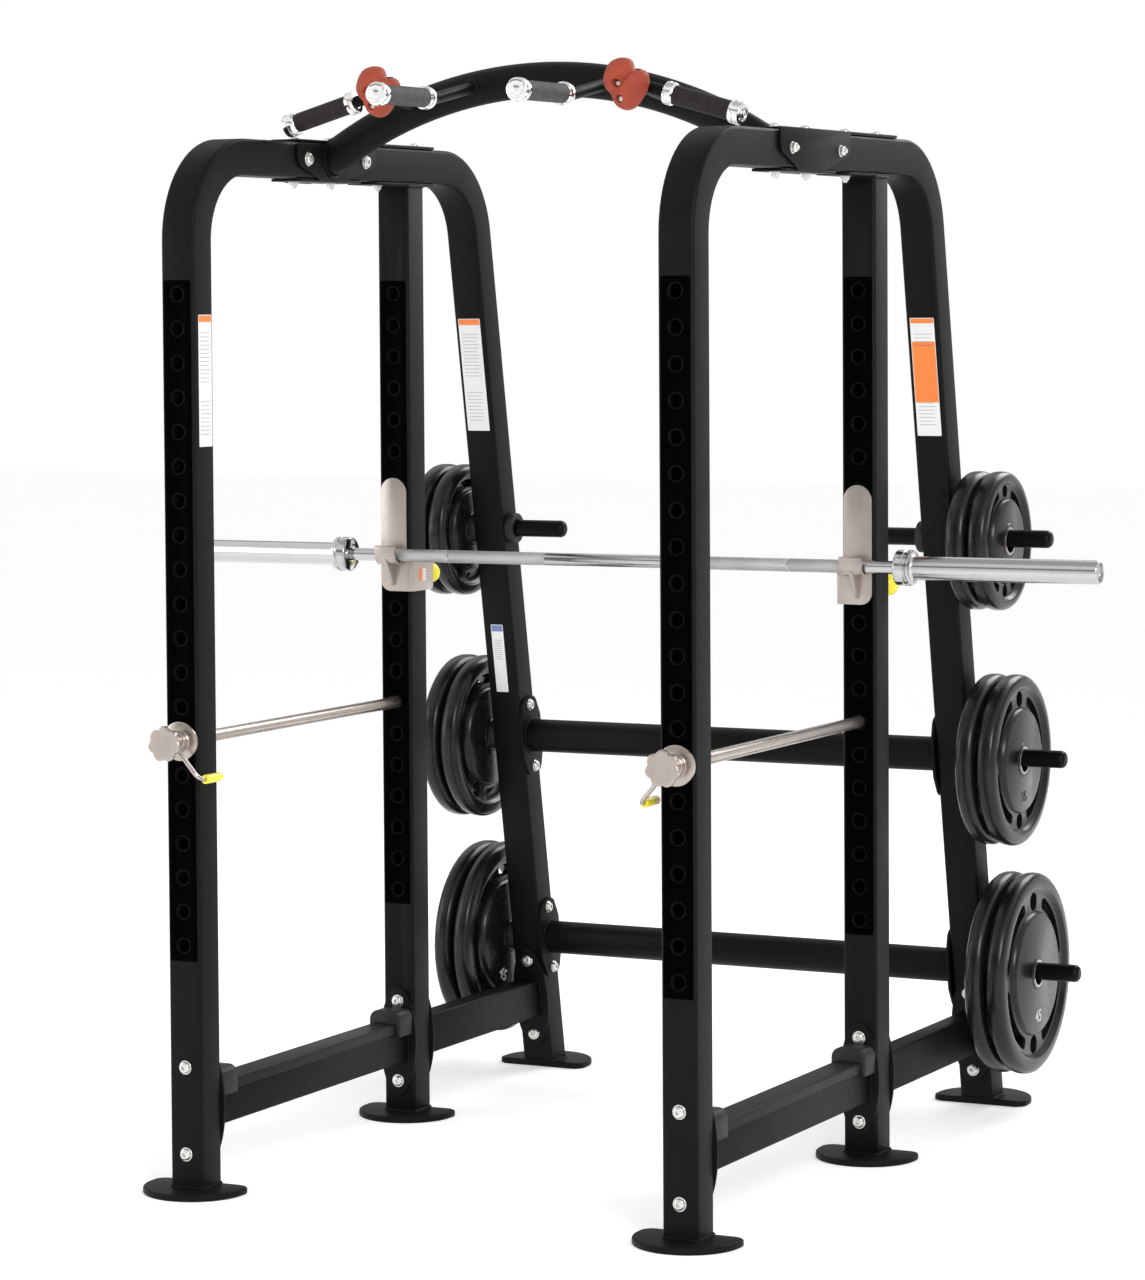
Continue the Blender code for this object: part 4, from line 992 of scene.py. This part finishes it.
def barbell():
    """Shaft with four knurled stretches, and a turning sleeve with a collar at each end."""
    shape = bmesh.new()
    radius = BAR_RADIUS
    edges = [0.6555, 0.58, 0.4105, 0.4065, 0.168]
    edges = [-x for x in edges] + edges[::-1]
    zones = [(a, b, i % 2 == 1) for i, (a, b) in enumerate(zip(edges, edges[1:]))]
    knurl = bmesh.new()
    profile = [(-1.088, 0.0), (-1.088, 0.0122), (-0.6555, 0.0122)]
    for a, b, rough in zones:
        if rough:
            profile += [(a, radius), (a, radius - 0.0012), (b, radius - 0.0012), (b, radius)]
            turned(knurl, BAR, X_AXIS, [(a + 0.0004, radius - 0.0015), (a + 0.0004, radius - 0.0003),
                                        (a + 0.0010, radius), (b - 0.0010, radius),
                                        (b - 0.0004, radius - 0.0003), (b - 0.0004, radius - 0.0015)], 40)
        else:
            profile += [(a, radius), (b, radius)]
    profile += [(0.6555, 0.0122), (1.088, 0.0122), (1.088, 0.0)]
    turned(shape, BAR, X_AXIS, profile, 40)
    piece("bar_shaft", shape, chrome, "barbell", ["barbell_shaft"], smooth=45)
    piece("bar_knurl", knurl, knurl_chrome, "barbell", smooth=45)
    for side_name, side in SIDES.items():
        sleeve = bmesh.new()
        a = 0.6558
        profile = [
            (a + 0.001, 0.0150), (a, 0.0162), (a, 0.0350), (a + 0.0016, 0.0372), (a + 0.004, 0.0380),
            (a + 0.0190, 0.0380), (a + 0.0205, 0.0366), (a + 0.0220, 0.0366), (a + 0.0235, 0.0380),
            (a + 0.0315, 0.0380), (a + 0.0340, 0.0370), (a + 0.0350, 0.0350), (a + 0.0350, 0.0290),
            (a + 0.0375, 0.0262), (a + 0.0410, 0.0250),
        ]
        profile += [(1.0955, 0.0250), (1.0985, 0.0240), (1.1000, 0.0222), (1.1000, 0.0190), (1.0975, 0.0182),
                    (1.0945, 0.0182), (1.0945, 0.0132), (1.0960, 0.0118), (1.0960, 0.0)]
        turned(sleeve, BAR, side * X_AXIS, profile, 48)
        piece("sleeve_" + side_name, sleeve, chrome, "sleeve_" + side_name,
              ["barbell_sleeve_" + side_name], smooth=38)


# ---------------------------------------------------------------- hooks, pins and safety rods

def hook(side_name, side):
    """Bar hook: tall back plate, J-shaped cup with a rib, folded side plate, rear tab and pin barrel."""
    x = side * HALF_WIDTH
    back = MID_DEPTH - 0.0026
    front = back - 0.005
    shape = bmesh.new()
    outline = rounded([(-0.0414, 1.180), (0.0315, 1.180), (0.0315, 1.4315), (-0.0315, 1.4315),
                       (-0.0315, 1.262), (-0.0414, 1.262)], [0, 0.024, 0.0313, 0.0313, 0.004, 0], 12)
    slab(shape, [(side * a, b) for a, b in outline], P(x, back, 0), X_AXIS, Z_AXIS, 0.005)
    bar_depth = BAR.y - FRONT
    root = front + 0.001  # the cup and its rib end inside the back plate

    def cup_line(half_depth, drop):
        angles = [math.pi * i / 14 for i in range(15)]
        return [(bar_depth - 0.004 + half_depth * math.cos(t), BAR.z + 0.004 - drop * math.sin(t))
                for t in angles]

    inner, outer = cup_line(0.0180, 0.0190), cup_line(0.0236, 0.0246)
    outer.append((outer[-1][0] - 0.0015, 1.281))
    cup = inner + [(inner[-1][0] - 0.0015, 1.283)] + [point for point in outer[::-1] if point[0] < root]
    cup = [(min(depth, root), z) for depth, z in cup]
    section = [cup[0]]
    for point in cup[1:]:
        if (Vector(point) - Vector(section[-1])).length > 1e-4:
            section.append(point)
    loft(shape, [[P(x + a, depth, z) for depth, z in section] for a in (-0.025, 0.025)])
    lip = bar_depth - 0.0225
    rib = [(root, 1.192), (root, 1.246), (lip - 0.001, 1.262), (lip - 0.003, 1.250), (front - 0.006, 1.196)]
    loft(shape, [[P(x + a, d, z) for d, z in rib] for a in (-0.0035, 0.0035)])
    inner_x = side * 0.5101
    side_plate = rounded_box((0.003, 1.180), (0.096, 1.2605), [0.003, 0.010, 0.010, 0.012])
    thicken(shape, [P(inner_x, front + a, z) for a, z in side_plate], side * 0.005 * X_AXIS)
    bend = []
    for radius, order in ((0.0060, 1), (0.0010, -1)):
        for i in range(9)[::order]:
            t = math.pi / 2 * i / 8
            bend.append((0.0060 - radius * math.cos(t), 0.0060 - radius * math.sin(t)))
    loft(shape, [[P(inner_x + side * a, front + b, z) for a, b in bend] for z in (1.1802, 1.2600)])
    tab = rounded_box((0.0, 1.182), (0.0745, 1.248), [0.002, 0.016, 0.016, 0.002])
    thicken(shape, [P(inner_x + side * (a + 0.001), 0.9790, z) for a, z in tab], 0.0055 * Y_AXIS)
    pin_z = HOLES[HOOK_HOLE]
    turned(shape, P(x, 0, pin_z), Y_AXIS, [
        (0.9800, 0.0116), (0.9800, 0.0160), (0.9850, 0.0160), (0.9865, 0.0150), (1.0180, 0.0150),
        (1.0205, 0.0160), (1.0220, 0.0155), (1.0220, 0.0116)], 36, loop=True)
    piece("hook_" + side_name, shape, nickel, "rack", ["bar_hook_" + side_name], bevel=0.0007)
    sticker = bmesh.new()
    spot = inner_x - side * 0.0004
    fields = [(spot, 0.032, 0.0465, 1.202, 1.228, 0), (spot, 0.0465, 0.062, 1.202, 1.228, 1)]
    fields += [(spot - side * 0.0001, 0.0495, 0.0590, z, z + 0.002, 2) for z in (1.208, 1.214, 1.220)]
    for place, a, b, low, high, finish in fields:
        corners = ((a, low), (b, low), (b, high), (a, high))
        thicken(sticker, [P(place, front + d, z) for d, z in corners], side * 0.0003 * X_AXIS, finish)
    piece("hook_sticker_" + side_name, sticker, [label_orange, label_white, label_grey], "rack")

    pin = bmesh.new()
    turned(pin, P(x, 0, pin_z), Y_AXIS, [
        (0.9627, 0.0), (0.9627, 0.0080), (0.9640, 0.0100), (0.9660, 0.0110), (1.0300, 0.0110),
        (1.0310, 0.0100), (1.0335, 0.0100), (1.0335, 0.0)], 32)
    piece("pin_" + side_name, pin, rod_nickel, "hook_pin_" + side_name,
          ["hook_pin_" + side_name])
    knob = bmesh.new()
    ball_depth, ball_radius, flat = 1.056, 0.0235, 1.0343
    first = math.acos((ball_depth - flat) / ball_radius)
    profile = [(flat, 0.0), (flat, 0.0075)]
    for i in range(25):
        t = first + (math.pi - first) * i / 24
        profile.append((ball_depth - ball_radius * math.cos(t), ball_radius * math.sin(t)))
    turned(knob, P(x, 0, pin_z), Y_AXIS, profile, 40)
    piece("pull_ball_" + side_name, knob, knob_yellow, "hook_pin_" + side_name,
          ["hook_knob_" + side_name], smooth=60)


def safety_rod(side_name, side):
    """Rod with a lobed hand knob, hub and disc, and the cranked lever that turns on its hub."""
    x = side * HALF_WIDTH
    axis = P(x, 0, HOLES[ROD_HOLE])
    shape = bmesh.new()
    turned(shape, axis, Y_AXIS, [
        (-0.0106, 0.0127), (-0.0106, 0.0385), (-0.0098, 0.0398), (-0.0088, 0.0400), (-0.0042, 0.0400),
        (-0.0032, 0.0396), (-0.0027, 0.0385), (-0.0027, 0.0127)], 56, loop=True)
    turned(shape, axis, Y_AXIS, [
        (-0.0620, 0.0), (-0.0620, 0.0170), (-0.0450, 0.0175), (-0.0449, 0.0127), (-0.0282, 0.0127),
        (-0.0281, 0.0205), (-0.0270, 0.0218), (-0.0120, 0.0220), (-0.0104, 0.0235), (-0.0104, 0.0127),
        (0.9395, 0.0127), (0.9425, 0.0119), (0.9442, 0.0102), (0.9450, 0.0075), (0.9450, 0.0)], 40)
    rings = []
    count, lobes = 112, 7
    edge = ((-0.0720, 0.0060), (-0.0720, 0.0024), (-0.0713, 0.0008), (-0.0698, 0.0), (-0.0642, 0.0),
            (-0.0627, 0.0008), (-0.0620, 0.0024), (-0.0620, 0.0060))
    for depth, inset in edge:
        ring = []
        for k in range(count):
            angle = math.tau * k / count
            lobe = 0.5 + 0.5 * math.cos(lobes * (angle - math.pi / 2))
            reach = 0.0318 + 0.0052 * lobe ** 0.62 - inset
            ring.append(axis + Vector((reach * math.cos(angle), depth, reach * math.sin(angle))))
        rings.append(ring)
    loft(shape, rings)
    piece("rod_" + side_name, shape, rod_nickel, "safety_rod_" + side_name,
          ["safety_rod_" + side_name], smooth=40)

    lever = bmesh.new()
    turned(lever, axis, Y_AXIS, [
        (-0.0445, 0.0134), (-0.0445, 0.0192), (-0.0435, 0.0203), (-0.0295, 0.0203), (-0.0285, 0.0192),
        (-0.0285, 0.0134)], 40, loop=True)
    tilt = math.radians(49)
    inward = Vector((-side * math.cos(tilt), 0, -math.sin(tilt)))

    def point(reach, depth):
        return axis + inward * reach + Vector((0, depth, 0))

    arm, arm_depth = 0.098, -0.0365
    path = fillet_path([point(0.016, arm_depth), point(arm, arm_depth), point(arm, 0.0375)], 0.019, 10)
    rod(lever, path, 0.0046, 20)
    turned(lever, point(0.0195, arm_depth), inward, [(-0.004, 0.0075), (0.003, 0.0068), (0.006, 0.0048),
                                                   (0.006, 0.002), (-0.004, 0.002)], 24, loop=True)
    piece("lever_" + side_name, lever, rod_nickel, "safety_lever_" + side_name,
          ["safety_lever_" + side_name], smooth=45)
    sleeve = bmesh.new()
    turned(sleeve, point(arm, 0), Y_AXIS, [
        (-0.0160, 0.0049), (-0.0160, 0.0086), (-0.0152, 0.0094), (-0.0120, 0.0095), (0.0370, 0.0093),
        (0.0405, 0.0086), (0.0432, 0.0066), (0.0442, 0.0035), (0.0443, 0.0)], 32)
    piece("lever_sleeve_" + side_name, sleeve, knob_yellow, "safety_lever_" + side_name,
          ["lever_grip_" + side_name], smooth=50)


# ---------------------------------------------------------------- blank labels

def label(name, corner, across, up, width, height, bands, lines):
    """Blank panel with coloured bands and plain grey bars, on a flat face."""
    shape = bmesh.new()
    n = across.cross(up).normalized()
    slab(shape, rounded_box((0, 0), (width, height), 0.002), corner + n * 0.0002, across, up, 0.0003)
    edge = 0.0012
    prints = [(edge, width - edge, low * height, high * height, finish) for finish, low, high in bands]
    prints += [(0.12 * width, share * width, low * height, low * height + 0.0016, 2) for low, share in lines]
    for left, right, low, high, finish in prints:
        outline = [(left, low), (right, low), (right, high), (left, high)]
        slab(shape, outline, corner + n * 0.00045, across, up, 0.00015, finish)
    piece(name, shape, [label_white, label_orange, label_grey, label_blue], "rack")


def labels():
    lean = Vector((0, -math.sin(LEG_ANGLE), math.cos(LEG_ANGLE)))
    bars = [(0.86 - 0.031 * i, 0.86 - 0.12 * ((i * 7) % 3) / 2) for i in range(13)]
    low_bars = [(0.34 - 0.031 * i, 0.84 - 0.1 * ((i * 5) % 3) / 2) for i in range(9)]

    def on_leg(x, z):
        return P(x, leg_depth(z) - LEG_HALF, z)

    label("label_left_upright", P(-0.5193, 0.018, 1.530), Y_AXIS, Z_AXIS, 0.050, 0.268, [(1, 0.945, 0.995)],
          bars + low_bars)
    label("label_left_leg", on_leg(-0.5860, 1.524), X_AXIS, lean, 0.0560, 0.262, [(1, 0.945, 0.995)],
          bars + low_bars)
    label("label_right_leg", on_leg(0.5290, 1.522), X_AXIS, lean, 0.0560, 0.262,
          [(1, 0.955, 0.995), (1, 0.285, 0.80)], bars[:4] + low_bars[2:])
    label("label_left_leg_low", on_leg(-0.5750, 0.910), X_AXIS, lean, 0.0310, 0.162, [(3, 0.90, 0.99)],
          bars[3:])


for side_name, side in SIDES.items():
    side_frame(side_name, side)
    mid_upright(side_name, side)
    strip("front_guard_strip_" + side_name, "front_strip_" + side_name, side * HALF_WIDTH, 0.0)
    strip("mid_guard_strip_" + side_name, "mid_strip_" + side_name, side * HALF_WIDTH, MID_DEPTH)
    beams(side_name, side)
    pad(side_name, side)
    clamp(side_name, side)
    frame_bolts(side_name, side)
    grip("neutral_hand_" + side_name, "neutral_grip_" + side_name, P(side * NEUTRAL_X, 0.333, BAR_HEIGHT),
         P(side * NEUTRAL_X, 0.122, BAR_HEIGHT), grip_grey)
    grip("wide_hand_" + side_name, "wide_grip_" + side_name, P(side * WIDE_INNER, WIDE_DEPTH, BAR_HEIGHT),
         P(side * WIDE_OUTER, WIDE_DEPTH, WIDE_LOW), grip_brown)
    hold(side_name, side)
    pegs(side_name, side)
    hook(side_name, side)
    safety_rod(side_name, side)
crossmember("cross_tube_upper", "crossmember_upper", LEVELS["middle"])
crossmember("cross_tube_lower", "crossmember_lower", LEVELS["bottom"])
arch()
weight_plates()
barbell()
labels()


# ---------------------------------------------------------------- stage, light and camera

def stage():
    """White paper floor, and a world with a darker band for the chrome and the steel to mirror."""
    floor_mesh = bmesh.new()
    bmesh.ops.create_grid(floor_mesh, x_segments=2, y_segments=2, size=30)
    mesh = bpy.data.meshes.new("floor")
    floor_mesh.to_mesh(mesh)
    floor_mesh.free()
    floor = linked("floor", mesh)
    floor.location.z = -0.0002  # just under the feet
    paper = surface("studio_floor", (0.90, 0.90, 0.90), 0.8, specular=0.1, mottle=0.01, grain=60, bump=0.0001)
    glow = paper.node_tree.nodes["Principled BSDF"]
    glow.inputs["Emission Color"].default_value = (1, 1, 1, 1)
    glow.inputs["Emission Strength"].default_value = 0.30
    mesh.materials.append(paper)
    world = bpy.data.worlds.new("studio")
    world.use_nodes = True
    nodes, links = world.node_tree.nodes, world.node_tree.links
    place = nodes.new("ShaderNodeTexCoord")
    split = nodes.new("ShaderNodeSeparateXYZ")
    ramp = nodes.new("ShaderNodeValToRGB")
    bands = ((0.0, 1.0), (0.16, 1.0), (0.24, 0.30), (0.42, 0.30), (0.52, 1.0), (0.80, 1.0), (0.90, 0.55))
    for index, (height, level) in enumerate(bands):
        element = ramp.color_ramp.elements[index] if index < 2 else ramp.color_ramp.elements.new(height)
        element.position = height
        element.color = (level, level, level, 1)
    links.new(place.outputs["Generated"], split.inputs["Vector"])
    links.new(split.outputs["Z"], ramp.inputs["Fac"])
    links.new(ramp.outputs["Color"], nodes["Background"].inputs["Color"])
    bpy.context.scene.world = world


def area_light(name, place, target, size, power):
    data = bpy.data.lights.new(name, "AREA")
    data.size = size
    data.energy = power
    light = linked(name, data)
    light.location = place
    light.rotation_mode = "QUATERNION"
    light.rotation_quaternion = (Vector(target) - Vector(place)).to_track_quat("-Z", "Y")


def camera():
    """The photo's view: its place, direction and lens, as fitted to the rack's known shape."""
    place = (3.9542, -7.1908 + FRONT, 1.8214)
    yaw, pitch, roll = (math.radians(angle) for angle in (26.713, -2.898, -0.355))
    ahead = Vector((-math.sin(yaw) * math.cos(pitch), math.cos(yaw) * math.cos(pitch), math.sin(pitch)))
    right = Vector((math.cos(yaw), math.sin(yaw), 0))
    up = right.cross(ahead)
    right, up = right * math.cos(roll) + up * math.sin(roll), up * math.cos(roll) - right * math.sin(roll)
    data = bpy.data.cameras.new("view")
    data.sensor_width = 36
    data.lens = 117.28406
    data.shift_y = -0.1
    data.clip_end = 200
    made = linked("view", data)
    made.matrix_world = Matrix([(right[i], up[i], -ahead[i], place[i]) for i in range(3)] + [(0, 0, 0, 1)])
    bpy.context.scene.camera = made


stage()
area_light("key", (5.0, -4.5, 4.2), (0, 0, 1.2), 2.4, 210)
area_light("fill", (-5.5, -3.0, 2.6), (0, 0, 1.1), 3.5, 90)
area_light("rim", (1.5, 5.0, 4.5), (0, 0, 1.2), 3.0, 150)
camera()
bpy.context.scene.view_settings.view_transform = "Standard"
